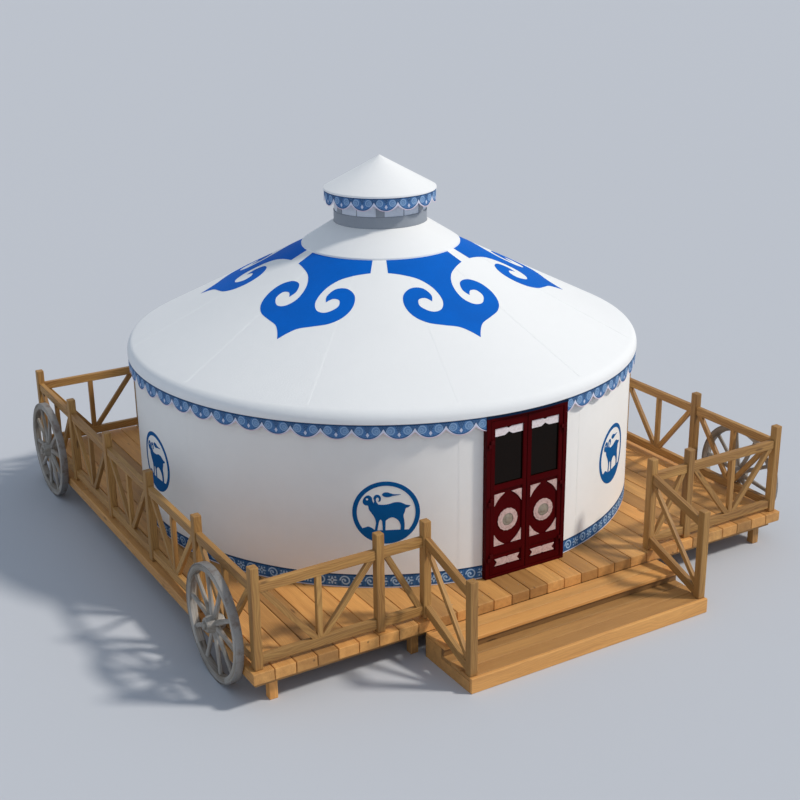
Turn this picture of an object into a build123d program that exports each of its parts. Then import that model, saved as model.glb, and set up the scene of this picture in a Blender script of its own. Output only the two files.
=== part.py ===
"""A six metre yurt on a boarded deck with railings, a two-step stair and four cart wheels.

Millimetres, +Z up. The origin is on the ground under the middle of the yurt, and the door faces -Y.
A bearing is an angle seen from above: 0 is at the door and it grows towards +X.
"""
import os
from math import asin, cos, degrees, radians, sin, sqrt, tan

from build123d import *

# Cuts run past what they cut by this much
cut_over = 1

# Deck
deck_top = 400
deck_board_thickness = 120
walkway = 425
bearer_width = 100
bearer_height = 90
bearer_inset = 60
leg_size = 90
leg_inset_x = 255
leg_inset_y = 155
leg_rows = 5

# Railing
post_inset = 90
post_size = 90
post_height = 1073
post_chamfer = 8
bays_per_side = 5
rail_height = 100
rail_depth = 60
top_rail_drop = 170
low_rail_lift = 45
baluster_width = 60
baluster_depth = 50
brace_width = 62
brace_depth = 44
brace_seat = 25
newel_inset = 55

# Stair
stair_half_width = 1520
lower_tread_top = 165
upper_tread_top = 280
lower_going = 480
upper_going = 350
tread_thickness = 40
stair_board = 40
stair_post_setback = 84
stair_post_height = 1013
hand_rail_drop_top = 170
hand_rail_drop_low = 90
foot_rail_lift_top = 150
foot_rail_lift_low = 110
step_nosing = 20

# Wheels
wheel_radius = 610
wheel_rim_depth = 80
wheel_rim_width = 80
wheel_gap = 12
wheel_spokes = 10
spoke_width = 60
spoke_depth = 46
spoke_taper = 1
nave_radius = 95
nave_length = 190
nave_end_radius = 70
nave_band_width = 20
nave_band_inset = 12
nave_band_rise = 8
axle_radius = 28
axle_head_radius = 42
axle_head_length = 30

# Wall
wall_radius = 3000
wall_thickness = 80
strip_over_door = 52
wall_sections = 6

# Roof
roof_thickness = 60
roof_pitch = 26.5
shoulder_radius = 128
skirt_drop = 38
skirt_thickness = 58
skirt_play = 2
crown_hole_radius = 520
roof_gores = 6
eave_valance_drop = 160
eave_valley_drop = 85
eave_lappets = 60
eave_valance_thickness = 6
eave_valance_inset = 2
eave_valance_play = 2

# Crown
collar_radius = 945
collar_edge = 25
collar_pitch = 32.2
collar_thickness = 30
crown_ring_inner_radius = 460
crown_ring_play = 0.3
drum_radius = 556
drum_play = 2
drum_height = 315
kerb_height = 135
kerb_thickness = 26
drum_post_count = 6
drum_post_bearing = 30
drum_post_width = 100
drum_post_depth = 26
pane_thickness = 10
pane_inset = 8
crown_head_thickness = 40
cap_radius = 667
cap_height = 368
cap_thickness = 22
cap_lift = 80
crown_valance_drop = 150
crown_valley_drop = 87
crown_lappets = 15
crown_valance_thickness = 6
crown_valance_inset = 5
lappet_blunt = 3

# Door
door_frame_width = 1035
door_frame_height = 1848
door_frame_depth = 150
door_frame_proud = 19
jamb_width = 50
head_height = 50
sill_height = 32
leaf_gap = 5
leaf_recess = 5
leaf_thickness = 45
stile_width = 44
leaf_top_rail = 80
transom_height = 100
transom_bar = 14
middle_rail = 55
panel_height = 660
lock_rail = 78
low_panel_height = 172
leaf_bottom_rail = 65
glass_thickness = 8
panel_thickness = 18
hinge_radius = 8
hinge_pin_radius = 4
hinge_pin_play = 0.3
hinge_height = 80
hinge_play = 0.15
hinge_arm_length = 30
hinge_arm_start = 5
hinge_clear = 1
hinge_plate = 6
hinge_heights = (250, 900, 1550)

# Levels and lines that follow
deck_half = wall_radius + walkway
leg_spread_x = deck_half - leg_inset_x
leg_spread_y = deck_half - leg_inset_y
post_line = deck_half - post_inset
roof_radius = wall_radius + skirt_play + skirt_thickness
newel_x = stair_half_width - newel_inset
deck_bottom = deck_top - deck_board_thickness
bearer_bottom = deck_bottom - bearer_height
wall_height = door_frame_height + strip_over_door
wall_top = deck_top + wall_height
wall_inner_radius = wall_radius - wall_thickness
bay = 2 * post_line / bays_per_side
post_lines = [-post_line + bay * number for number in range(bays_per_side + 1)]
bay_centres = [line + bay / 2 for line in post_lines[:-1]]
rail_top = deck_top + post_height - top_rail_drop
rail_bottom = rail_top - rail_height
low_rail_bottom = deck_top + low_rail_lift
low_rail_top = low_rail_bottom + rail_height
door_half = door_frame_width / 2
door_top = deck_top + door_frame_height
door_front = -(wall_radius + door_frame_proud)
door_back = door_front + door_frame_depth
clear_half = door_half - jamb_width
leaf_reach = clear_half - leaf_gap / 2
leaf_bottom = deck_top + sill_height + leaf_gap
leaf_top = door_top - head_height - leaf_gap
leaf_front = door_front + leaf_recess
hinge_line = door_front - hinge_radius - hinge_clear


def block(x0, x1, y0, y1, z0, z1):
    """A box between two opposite corners."""
    size = (x1 - x0, y1 - y0, z1 - z0)
    middle = ((x0 + x1) / 2, (y0 + y1) / 2, (z0 + z1) / 2)
    return Pos(*middle) * Box(*size)


def turned_face(face, bearing_from, bearing_to):
    """Revolves a face that is drawn in the XZ plane between two bearings."""
    solid = revolve(face, Axis.Z, bearing_to - bearing_from)
    return Rot(0, 0, bearing_from - 90) * solid


def turned(outline, bearing_from=0.0, bearing_to=360.0):
    """Revolves an outline of (radius, height) points about the yurt's axis between two bearings."""
    face = make_face(Plane.XZ * Polyline(*outline, close=True))
    return turned_face(face, bearing_from, bearing_to)


def bar(start, end, width, depth):
    """A square-ended bar in the plane of x and z, with its depth along y."""
    run = Vector(*end) - Vector(*start)
    middle = (Vector(*end) + Vector(*start)) * 0.5
    lean = degrees(asin(run.Z / run.length))
    if run.X < 0:
        lean = 180 - lean
    return Pos(middle.X, middle.Y, middle.Z) * Rot(0, -lean, 0) * Box(run.length, depth, width)


def roof_height(radius):
    """The height of the roof's outer surface over the straight part of its pitch."""
    return shoulder_end[1] + (shoulder_end[0] - radius) * tan(radians(roof_pitch))


def collar_height(radius):
    """The height of the collar's upper surface."""
    return collar_edge_top + (collar_radius - radius) * tan(radians(collar_pitch))


def cap_under(radius):
    """The height of the underside of the crown's cap."""
    return cap_rim - cap_thickness + (cap_radius - radius) * cap_height / cap_radius


shoulder_centre = (roof_radius - shoulder_radius, wall_top)
shoulder_end = (
    shoulder_centre[0] + shoulder_radius * sin(radians(roof_pitch)),
    shoulder_centre[1] + shoulder_radius * cos(radians(roof_pitch)),
)
roof_hole_top = roof_height(crown_hole_radius)
collar_edge_top = roof_height(collar_radius) + collar_edge
drum_bottom = collar_height(drum_radius)
drum_top = drum_bottom + drum_height
kerb_top = drum_bottom + kerb_height
cap_rim = drum_top + cap_lift


# Deck and what carries it
def deck_floor():
    return block(-deck_half, deck_half, -deck_half, deck_half, deck_bottom, deck_top)


def leg_lines(spread):
    return [-spread + 2 * spread * number / (leg_rows - 1) for number in range(leg_rows)]


def deck_bearers():
    reach = deck_half - bearer_inset
    half = bearer_width / 2
    return [
        block(-reach, reach, y - half, y + half, bearer_bottom, deck_bottom)
        for y in leg_lines(leg_spread_y)
    ]


def deck_legs():
    half = leg_size / 2
    return [
        block(x - half, x + half, y - half, y + half, 0, bearer_bottom)
        for x in leg_lines(leg_spread_x)
        for y in leg_lines(leg_spread_y)
    ]


# Stair
stair_back = -deck_half
upper_front = stair_back - upper_going
lower_front = upper_front - lower_going
riser_front = upper_front + step_nosing
riser_back = riser_front + stair_board


def stair_treads():
    half = stair_half_width
    upper = block(-half, half, upper_front, stair_back, upper_tread_top - tread_thickness, upper_tread_top)
    lower = block(
        -half, half, lower_front + stair_board, riser_back,
        lower_tread_top - tread_thickness, lower_tread_top,
    )
    return [upper, lower]


def stair_risers():
    half = stair_half_width
    front = block(-half, half, lower_front, lower_front + stair_board, 0, lower_tread_top)
    upper = block(-half, half, riser_front, riser_back, lower_tread_top, upper_tread_top - tread_thickness)
    return [front, upper]


def stair_strings():
    """The two side boards, cut to the steps."""
    low = lower_tread_top - tread_thickness
    high = upper_tread_top - tread_thickness
    outline = Polyline(
        (lower_front + stair_board, 0), (stair_back, 0), (stair_back, high),
        (riser_back, high), (riser_back, low), (lower_front + stair_board, low), close=True,
    )
    board = extrude(make_face(Plane.YZ * outline), stair_board)
    left = Pos(-stair_half_width, 0, 0) * board
    right = Pos(stair_half_width - stair_board, 0, 0) * board
    return [left, right]


# Railing
def post(x, y, foot, height):
    half = post_size / 2
    shaft = block(x - half, x + half, y - half, y + half, foot, foot + height)
    top_edges = shaft.faces().sort_by(Axis.Z)[-1].edges()
    return chamfer(top_edges, post_chamfer)


def posts_left():
    return [post(-post_line, y, deck_top, post_height) for y in post_lines]


def posts_right():
    return [post(post_line, y, deck_top, post_height) for y in post_lines]


def posts_back():
    return [post(x, post_line, deck_top, post_height) for x in post_lines[1:-1]]


def posts_front():
    lines = (post_lines[1], -newel_x, newel_x, post_lines[-2])
    return [post(x, -post_line, deck_top, post_height) for x in lines]


stair_post_y = lower_front + stair_post_setback


def posts_stair():
    return [post(x, stair_post_y, lower_tread_top, stair_post_height) for x in (-newel_x, newel_x)]


def full_bay():
    """One bay of railing along x, centred on the origin: two rails, a baluster and two braces."""
    reach = (bay - post_size) / 2
    top = block(-reach, reach, -rail_depth / 2, rail_depth / 2, rail_bottom, rail_top)
    low = block(-reach, reach, -rail_depth / 2, rail_depth / 2, low_rail_bottom, low_rail_top)
    half = baluster_width / 2
    panel = top + low
    panel += block(-half, half, -baluster_depth / 2, baluster_depth / 2, low_rail_top, rail_bottom)
    for side in (-1, 1):
        high = (side * (reach - brace_width / 2), 0, rail_bottom + brace_seat)
        foot = (side * half, 0, low_rail_top - brace_seat)
        panel += bar(foot, high, brace_width, brace_depth)
    return panel


def half_bay(side):
    """The short bay between a front post and a newel, with one brace down to the newel's foot."""
    near = post_lines[-2] - post_size / 2
    far = newel_x + post_size / 2
    top = block(far, near, -rail_depth / 2, rail_depth / 2, rail_bottom, rail_top)
    low = block(far, near, -rail_depth / 2, rail_depth / 2, low_rail_bottom, low_rail_top)
    high = (near - brace_width / 2, 0, rail_bottom + brace_seat)
    foot = (far + brace_width / 2, 0, low_rail_top - brace_seat)
    panel = top + low + bar(foot, high, brace_width, brace_depth)
    if side < 0:
        panel = mirror(panel, about=Plane.YZ)
    return Pos(0, -post_line, 0) * panel


def railing_left():
    panel = Rot(0, 0, 90) * full_bay()
    return [Pos(-post_line, y, 0) * panel for y in bay_centres]


def railing_right():
    panel = Rot(0, 0, 90) * full_bay()
    return [Pos(post_line, y, 0) * panel for y in bay_centres]


def railing_back():
    panel = full_bay()
    return [Pos(x, post_line, 0) * panel for x in bay_centres]


def railing_front():
    panel = full_bay()
    outer = [Pos(x, -post_line, 0) * panel for x in (bay_centres[0], bay_centres[-1])]
    return outer + [half_bay(-1), half_bay(1)]


def railing_stair():
    """The sloping rails and the brace at each side of the stair."""
    newel_face = -post_line - post_size / 2
    post_face = stair_post_y + post_size / 2
    hand_newel = deck_top + post_height - hand_rail_drop_top
    hand_post = lower_tread_top + stair_post_height - hand_rail_drop_low
    foot_newel = deck_top + foot_rail_lift_top
    foot_post = lower_tread_top + foot_rail_lift_low

    def sloping(high, low):
        outline = Polyline(
            (newel_face, high), (newel_face, high - rail_height),
            (post_face, low - rail_height), (post_face, low), close=True,
        )
        return extrude(make_face(Plane.YZ * outline), rail_depth / 2, both=True)

    brace_outline = Polyline(
        (newel_face, hand_newel - rail_height + brace_seat),
        (newel_face, hand_newel - rail_height - brace_width),
        (post_face, foot_post - brace_seat), (post_face, foot_post + brace_width), close=True,
    )
    brace = extrude(make_face(Plane.YZ * brace_outline), brace_depth / 2, both=True)
    side = sloping(hand_newel, hand_post) + sloping(foot_newel, foot_post) + brace
    return [Pos(x, 0, 0) * side for x in (-newel_x, newel_x)]


# Wheels
wheel_plane = deck_half + wheel_gap + wheel_rim_width / 2
wheel_y = bay_centres[-1]


def wheel():
    """A spoked cart wheel about the x axis, with its felloe, spokes and turned nave in one."""
    felloe = Rot(0, 90, 0) * (
        Cylinder(wheel_radius, wheel_rim_width) - Cylinder(wheel_radius - wheel_rim_depth, wheel_rim_width)
    )
    half = nave_length / 2
    ends = Polyline((nave_end_radius, half), (axle_radius, half), (axle_radius, -half), (nave_end_radius, -half))
    barrel = ThreePointArc((nave_end_radius, -half), (nave_radius, 0), (nave_end_radius, half))
    whole = felloe + Rot(0, 90, 0) * revolve(make_face(Plane.XZ * (ends + barrel)), Axis.Z, 360)
    band = Cylinder(nave_end_radius + nave_band_rise, nave_band_width) - Cylinder(axle_radius, nave_band_width)
    for side in (-1, 1):
        middle = side * (half - nave_band_inset - nave_band_width / 2)
        whole += Pos(middle, 0, 0) * Rot(0, 90, 0) * band
    reach_in = (nave_radius + axle_radius) / 2
    reach_out = wheel_radius - wheel_rim_depth / 2
    foot = Pos(0, 0, reach_in) * Rectangle(spoke_depth, spoke_width)
    spoke = extrude(foot, reach_out - reach_in, taper=spoke_taper)
    for number in range(wheel_spokes):
        whole += Rot(360 * number / wheel_spokes, 0, 0) * spoke
    return whole


def wheels_left():
    made = wheel()
    return [Pos(-wheel_plane, y, wheel_radius) * made for y in (-wheel_y, wheel_y)]


def wheels_right():
    made = wheel()
    return [Pos(wheel_plane, y, wheel_radius) * made for y in (-wheel_y, wheel_y)]


def wheel_axles():
    """Stub axles from the middle balusters through the naves, each with a round head outside."""
    inner = post_line + baluster_depth / 2
    outer = wheel_plane + nave_length / 2
    axle = Pos((inner + outer) / 2, 0, 0) * Rot(0, 90, 0) * Cylinder(axle_radius, outer - inner)
    axle += Pos(outer + axle_head_length / 2, 0, 0) * Rot(0, 90, 0) * Cylinder(axle_head_radius, axle_head_length)
    made = []
    for side in (-1, 1):
        turned_axle = axle if side > 0 else Rot(0, 0, 180) * axle
        for y in (-wheel_y, wheel_y):
            made.append(Pos(0, y, wheel_radius) * turned_axle)
    return made


# Wall
door_sector = block(-door_half, door_half, -2 * wall_radius, 0, 0, 2 * wall_top)


def wall_section(number):
    """One of the six wall sections, counted from the right of the door."""
    sweep = 360 / wall_sections
    outline = [
        (wall_inner_radius, deck_top), (wall_radius, deck_top),
        (wall_radius, wall_top), (wall_inner_radius, wall_top),
    ]
    section = turned(outline, number * sweep, (number + 1) * sweep)
    if number in (0, wall_sections - 1):
        section -= door_sector
    return section


def wall_over_door():
    outline = [
        (wall_inner_radius, door_top), (wall_radius, door_top),
        (wall_radius, wall_top), (wall_inner_radius, wall_top),
    ]
    reach = 180 / wall_sections
    return turned(outline, -reach, reach) & door_sector


# Roof
def roof_gore(number):
    """One sixth of the roof, with the rolled shoulder and the skirt that laps over the wall."""
    centre_r, centre_z = shoulder_centre
    skirt_bottom = wall_top - skirt_drop
    skirt_inner = wall_radius + skirt_play
    drop = roof_thickness / cos(radians(roof_pitch))
    middle = radians((90 - roof_pitch) / 2)
    arc_middle = (centre_r + shoulder_radius * cos(middle), centre_z + shoulder_radius * sin(middle))
    outline = Polyline(
        shoulder_end, (crown_hole_radius, roof_hole_top), (crown_hole_radius, roof_hole_top - drop),
        (wall_inner_radius, roof_height(wall_inner_radius) - drop), (wall_inner_radius, wall_top),
        (skirt_inner, wall_top), (skirt_inner, skirt_bottom), (roof_radius, skirt_bottom),
        (roof_radius, centre_z),
    )
    shoulder = ThreePointArc((roof_radius, centre_z), arc_middle, shoulder_end)
    face = make_face(Plane.XZ * (outline + shoulder))
    sweep = 360 / roof_gores
    return turned_face(face, (number - 0.5) * sweep, (number + 0.5) * sweep)


def lappet_gaps(count, bearing, inner, outer, valley, tip):
    """The cuts between rounded lappets along a round strip's lower edge, each with its cusp at the top."""
    half = outer * sin(radians(180 / count)) - lappet_blunt
    rise = valley - tip
    swell = (half**2 + rise**2) / (2 * rise)
    middle = asin(half / swell) / 2
    near = half - swell * sin(middle)
    level = tip + swell * (1 - cos(middle))
    sides = ThreePointArc((-half, tip), (-near, level), (0, valley))
    sides += ThreePointArc((0, valley), (near, level), (half, tip))
    below = Polyline((half, tip), (half, tip - cut_over), (-half, tip - cut_over), (-half, tip))
    face = make_face(Plane.XZ * (sides + below))
    start = inner * cos(radians(180 / count)) - cut_over
    gap = Pos(0, -start, 0) * extrude(face, outer - start + cut_over, dir=(0, -1, 0))
    return [Rot(0, 0, bearing + 360 * number / count) * gap for number in range(count)]


def eave_valance():
    top = wall_top - skirt_drop
    outer = roof_radius - eave_valance_inset
    inner = outer - eave_valance_thickness
    tip = top - eave_valance_drop
    strip = turned([(inner, tip), (outer, tip), (outer, top), (inner, top)])
    strip -= lappet_gaps(eave_lappets, 0, inner, outer, top - eave_valley_drop, tip)
    cut = door_half + eave_valance_play
    return strip - block(-cut, cut, -2 * wall_radius, 0, 0, 2 * wall_top)


# Crown
def crown_collar():
    """The conical cover that lies on the roof round the crown."""
    slope = tan(radians(collar_pitch))
    roof_slope = tan(radians(roof_pitch))
    under_at_drum = drum_bottom - collar_thickness
    meet = (under_at_drum + drum_radius * slope - roof_height(0)) / (slope - roof_slope)
    outline = [
        (collar_radius, roof_height(collar_radius)), (collar_radius, collar_edge_top),
        (drum_radius, drum_bottom), (drum_radius, under_at_drum), (meet, roof_height(meet)),
    ]
    return turned(outline)


def crown_ring():
    """The ring that closes the roof's hole, with a flange on the roof and the kerb that carries the drum."""
    inner = crown_ring_inner_radius
    seat = crown_hole_radius - crown_ring_play
    flange = drum_radius - drum_play
    bottom = roof_hole_top - roof_thickness / cos(radians(roof_pitch))
    outline = [
        (inner, bottom), (seat, bottom), (seat, roof_hole_top),
        (flange, roof_hole_top), (flange, kerb_top), (flange - kerb_thickness, kerb_top),
        (flange - kerb_thickness, drum_bottom), (inner, drum_bottom),
    ]
    return turned(outline)


def crown_posts():
    outer = drum_radius - drum_play
    made = []
    half = drum_post_width / 2
    front = -sqrt(outer**2 - half**2)
    shaft = block(-half, half, front, -outer + drum_post_depth, kerb_top, drum_top)
    for number in range(drum_post_count):
        made.append(Rot(0, 0, drum_post_bearing + 360 * number / drum_post_count) * shaft)
    return made


def crown_panes():
    """Curved panes between the drum's posts."""
    outer = drum_radius - drum_play - pane_inset
    inner = outer - pane_thickness
    ring = turned([(inner, kerb_top), (outer, kerb_top), (outer, drum_top), (inner, drum_top)])
    reach = drum_post_width / 2
    slot = block(-reach, reach, -2 * outer, 0, 0, 2 * drum_top)
    for number in range(drum_post_count):
        ring -= Rot(0, 0, drum_post_bearing + 360 * number / drum_post_count) * slot
    return list(ring.solids())


def crown_head():
    outer = drum_radius - drum_play
    inner = outer - crown_head_thickness
    outline = [(inner, drum_top), (outer, drum_top), (outer, cap_under(outer)), (inner, cap_under(inner))]
    return turned(outline)


def crown_cap():
    peak = cap_rim + cap_height
    outline = [
        (cap_radius, cap_rim), (0, peak), (0, peak - cap_thickness), (cap_radius, cap_rim - cap_thickness),
    ]
    return turned(outline)


def crown_valance():
    outer = cap_radius - crown_valance_inset
    inner = outer - crown_valance_thickness
    rim = cap_rim - cap_thickness
    tip = rim - crown_valance_drop
    strip = turned([(inner, tip), (outer, tip), (outer, cap_under(outer)), (inner, cap_under(inner))])
    first_cusp = 180 / crown_lappets
    return strip - lappet_gaps(crown_lappets, first_cusp, inner, outer, rim - crown_valley_drop, tip)


# Door frame
def door_jambs():
    left = block(-door_half, -clear_half, door_front, door_back, deck_top, door_top)
    right = block(clear_half, door_half, door_front, door_back, deck_top, door_top)
    return [left, right]


def door_head():
    return block(-clear_half, clear_half, door_front, door_back, door_top - head_height, door_top)


def door_sill():
    return block(-clear_half, clear_half, door_front, door_back, deck_top, deck_top + sill_height)


def knuckle(bottom, top):
    """A hinge barrel about its own pin line."""
    return Pos(0, 0, (bottom + top) / 2) * Cylinder(hinge_radius, top - bottom)


def jamb_hinges():
    """The lower halves of the hinges, with their pins, fixed to the front of the jambs."""
    made = []
    to_jamb = door_front - hinge_line
    for height in hinge_heights:
        half = hinge_height / 2
        lower = knuckle(-half, -hinge_play)
        lower += block(-hinge_arm_length, -hinge_arm_start, -hinge_plate, to_jamb, -half, -hinge_play)
        lower += block(-hinge_arm_length, 0, -hinge_plate, hinge_plate, -half, -hinge_play)
        lower += Cylinder(hinge_pin_radius, hinge_height)
        for side in (-1, 1):
            piece = lower if side < 0 else mirror(lower, about=Plane.YZ)
            made.append(Pos(side * clear_half, hinge_line, deck_top + height) * piece)
    return made


def leaf_hinge(height):
    """The upper half of a hinge, for the left leaf, fixed to the leaf's front."""
    half = hinge_height / 2
    to_leaf = leaf_front - hinge_line
    upper = knuckle(hinge_play, half)
    start = hinge_arm_start + leaf_gap / 2
    upper += block(start, hinge_arm_length, -hinge_plate, to_leaf, hinge_play, half)
    upper += block(0, hinge_arm_length, -hinge_plate, hinge_plate, hinge_play, half)
    upper -= Pos(0, 0, half / 2) * Cylinder(hinge_pin_radius + hinge_pin_play, half + 2 * cut_over)
    return Pos(-clear_half, hinge_line, deck_top + height) * upper


# Door leaves, drawn for the left one and mirrored for the right
leaf_outer = -(clear_half - leaf_gap)
leaf_back = leaf_front + leaf_thickness
leaf_meet_front = -clear_half + sqrt(leaf_reach**2 - (leaf_front - hinge_line) ** 2)
leaf_meet_back = -clear_half + sqrt(leaf_reach**2 - (leaf_back - hinge_line) ** 2)
field_left = leaf_outer + stile_width
field_right = leaf_meet_front - stile_width
transom_top = leaf_top - leaf_top_rail
transom_low = transom_top - transom_height
low_panel_low = leaf_bottom + leaf_bottom_rail
low_panel_top = low_panel_low + low_panel_height
panel_low = low_panel_top + lock_rail
panel_top = panel_low + panel_height
glass_low = panel_top + middle_rail
glass_top = transom_low - transom_bar


def handed(shape, side):
    return shape if side < 0 else mirror(shape, about=Plane.YZ)


def leaf_frame(side):
    """Stiles and rails, with four fields cut through, a bevelled meeting edge and three half hinges."""
    plan = Polyline(
        (leaf_outer, leaf_front), (leaf_meet_front, leaf_front), (leaf_meet_back, leaf_back),
        (leaf_outer, leaf_back), close=True,
    )
    frame = extrude(make_face(Plane.XY.offset(leaf_bottom) * plan), leaf_top - leaf_bottom)
    fields = ((transom_low, transom_top), (glass_low, glass_top), (panel_low, panel_top),
              (low_panel_low, low_panel_top))
    for low, high in fields:
        front = leaf_front - cut_over
        back = leaf_back + cut_over
        frame -= block(field_left, field_right, front, back, low, high)
    for height in hinge_heights:
        frame += leaf_hinge(height)
    return handed(frame, side)


def leaf_glass(side):
    middle = (leaf_front + leaf_back) / 2
    front = middle - glass_thickness / 2
    back = middle + glass_thickness / 2
    panes = []
    for low, high in ((transom_low, transom_top), (glass_low, glass_top)):
        panes.append(handed(block(field_left, field_right, front, back, low, high), side))
    return panes


def leaf_panels(side):
    middle = (leaf_front + leaf_back) / 2
    front = middle - panel_thickness / 2
    back = middle + panel_thickness / 2
    panels = []
    for low, high in ((panel_low, panel_top), (low_panel_low, low_panel_top)):
        panels.append(handed(block(field_left, field_right, front, back, low, high), side))
    return panels


def save(name, made):
    solids = made if isinstance(made, list) else [made]
    single = [solid for shape in solids for solid in shape.solids()]
    shape = single[0] if len(single) == 1 else Compound(children=single)
    export_step(shape, f"parts/{name}.step")


os.makedirs("parts", exist_ok=True)

single_nodes = (
    deck_floor, deck_bearers, deck_legs,
    stair_treads, stair_risers, stair_strings,
    posts_left, posts_right, posts_back, posts_front, posts_stair,
    railing_left, railing_right, railing_back, railing_front, railing_stair,
    wheels_left, wheels_right, wheel_axles,
    wall_over_door, eave_valance,
    crown_collar, crown_ring, crown_posts, crown_panes, crown_head, crown_cap, crown_valance,
    door_jambs, door_head, door_sill, jamb_hinges,
)
for make in single_nodes:
    save(make.__name__, make())
for number in range(wall_sections):
    save(f"wall_section_{number + 1}", wall_section(number))
for number in range(roof_gores):
    save(f"roof_gore_{number + 1}", roof_gore(number))
for side, hand in ((-1, "left"), (1, "right")):
    save(f"door_{hand}_frame", leaf_frame(side))
    save(f"door_{hand}_glass", leaf_glass(side))
    save(f"door_{hand}_panels", leaf_panels(side))
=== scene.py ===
from math import asin, atan2, cos, degrees, dist, hypot, pi, radians, sin, sqrt, tan
from random import Random

import bmesh
import bpy
from bpy.props import FloatProperty, FloatVectorProperty, IntProperty, PointerProperty
from bpy.types import Operator, Panel, PropertyGroup
from mathutils import Matrix, Vector


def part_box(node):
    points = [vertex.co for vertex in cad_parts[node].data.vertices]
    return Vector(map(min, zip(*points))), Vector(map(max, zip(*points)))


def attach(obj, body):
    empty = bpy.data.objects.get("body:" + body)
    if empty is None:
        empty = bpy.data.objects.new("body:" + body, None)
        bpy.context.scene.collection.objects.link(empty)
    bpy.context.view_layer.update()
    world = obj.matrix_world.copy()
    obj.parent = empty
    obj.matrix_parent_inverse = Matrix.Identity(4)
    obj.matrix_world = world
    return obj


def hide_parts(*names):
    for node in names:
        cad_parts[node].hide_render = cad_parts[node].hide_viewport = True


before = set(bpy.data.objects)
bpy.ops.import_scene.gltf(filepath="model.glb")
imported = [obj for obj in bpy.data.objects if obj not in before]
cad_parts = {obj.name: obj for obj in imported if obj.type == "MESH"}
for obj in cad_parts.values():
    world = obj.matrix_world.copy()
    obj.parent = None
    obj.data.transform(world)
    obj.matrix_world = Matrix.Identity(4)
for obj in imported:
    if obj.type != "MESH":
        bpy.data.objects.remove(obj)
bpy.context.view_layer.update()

bl_info = {
    "name": "Yurt on a deck",
    "version": (1, 0, 0),
    "blender": (4, 5, 0),
    "location": "View3D > Sidebar > Yurt",
    "description": "Finishes a six metre yurt with its railed deck, stair, cart wheels and double door",
    "category": "Add Mesh",
}


def span(*nodes):
    """The lowest and highest corner round several nodes of the frame."""
    boxes = [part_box(node) for node in nodes]
    low = Vector([min(box[0][axis] for box in boxes) for axis in range(3)])
    high = Vector([max(box[1][axis] for box in boxes) for axis in range(3)])
    return low, high


parts_round = 6
part_turn = 360 / parts_round
roof_nodes = [f"roof_gore_{number}" for number in range(1, parts_round + 1)]
wall_nodes = [f"wall_section_{number}" for number in range(1, parts_round + 1)]

deck_low, deck_high = span("deck_floor")
bearer_low, bearer_high = span("deck_bearers")
leg_low, leg_high = span("deck_legs")
tread_low, tread_high = span("stair_treads")
riser_low, riser_high = span("stair_risers")
string_high = span("stair_strings")[1]
post_low, post_high = span("posts_left")
front_post_high = span("posts_front")[1]
stair_post_low, stair_post_high = span("posts_stair")
rail_low, rail_high = span("railing_left")
wheel_low, wheel_high = span("wheels_left")
axle_high = span("wheel_axles")[1]
wall_low, wall_high = span(*wall_nodes)
roof_low, roof_high = span(*roof_nodes)
eave_low, eave_high = span("eave_valance")
collar_high = span("crown_collar")[1]
ring_low, ring_high = span("crown_ring")
drum_post_low, drum_post_high = span("crown_posts")
pane_low, pane_high = span("crown_panes")
head_low, head_high = span("crown_head")
cap_low, cap_high = span("crown_cap")
fringe_low, fringe_high = span("crown_valance")
jamb_low, jamb_high = span("door_jambs")
lintel_low, lintel_high = span("door_head")
sill_low, sill_high = span("door_sill")

deck_top = deck_high.z
deck_half = deck_high.x
post_size = post_high.x - post_low.x
post_line = post_high.y - post_size / 2
bay_count = 5
bay = 2 * post_line / bay_count
post_lines = [-post_line + bay * number for number in range(bay_count + 1)]
newel_line = stair_post_high.x - post_size / 2
stair_post_line = (stair_post_low.y + stair_post_high.y) / 2
wall_radius = wall_high.x
wall_base = wall_low.z
wall_top = wall_high.z
door_half = jamb_high.x
wheel_radius = (wheel_high.z - wheel_low.z) / 2
wheel_line = wheel_high.y - wheel_radius
door_reach = degrees(asin(door_half / wall_radius))


def srgb(red, green, blue):
    """A colour as a screen shows it, from 0 to 255, turned into linear light."""
    shares = [channel / 255 for channel in (red, green, blue)]
    return tuple(((c + 0.055) / 1.055) ** 2.4 if c > 0.04045 else c / 12.92 for c in shares)


def length(label, value, words):
    return FloatProperty(name=label, description=words, default=value, min=0, unit="LENGTH", precision=4)


def number_of(label, value, words, least):
    return IntProperty(name=label, description=words, default=value, min=least)


def colour(label, value, words):
    return FloatVectorProperty(
        name=label, description=words, default=srgb(*value), size=3, min=0, max=1, subtype="COLOR"
    )


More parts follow.
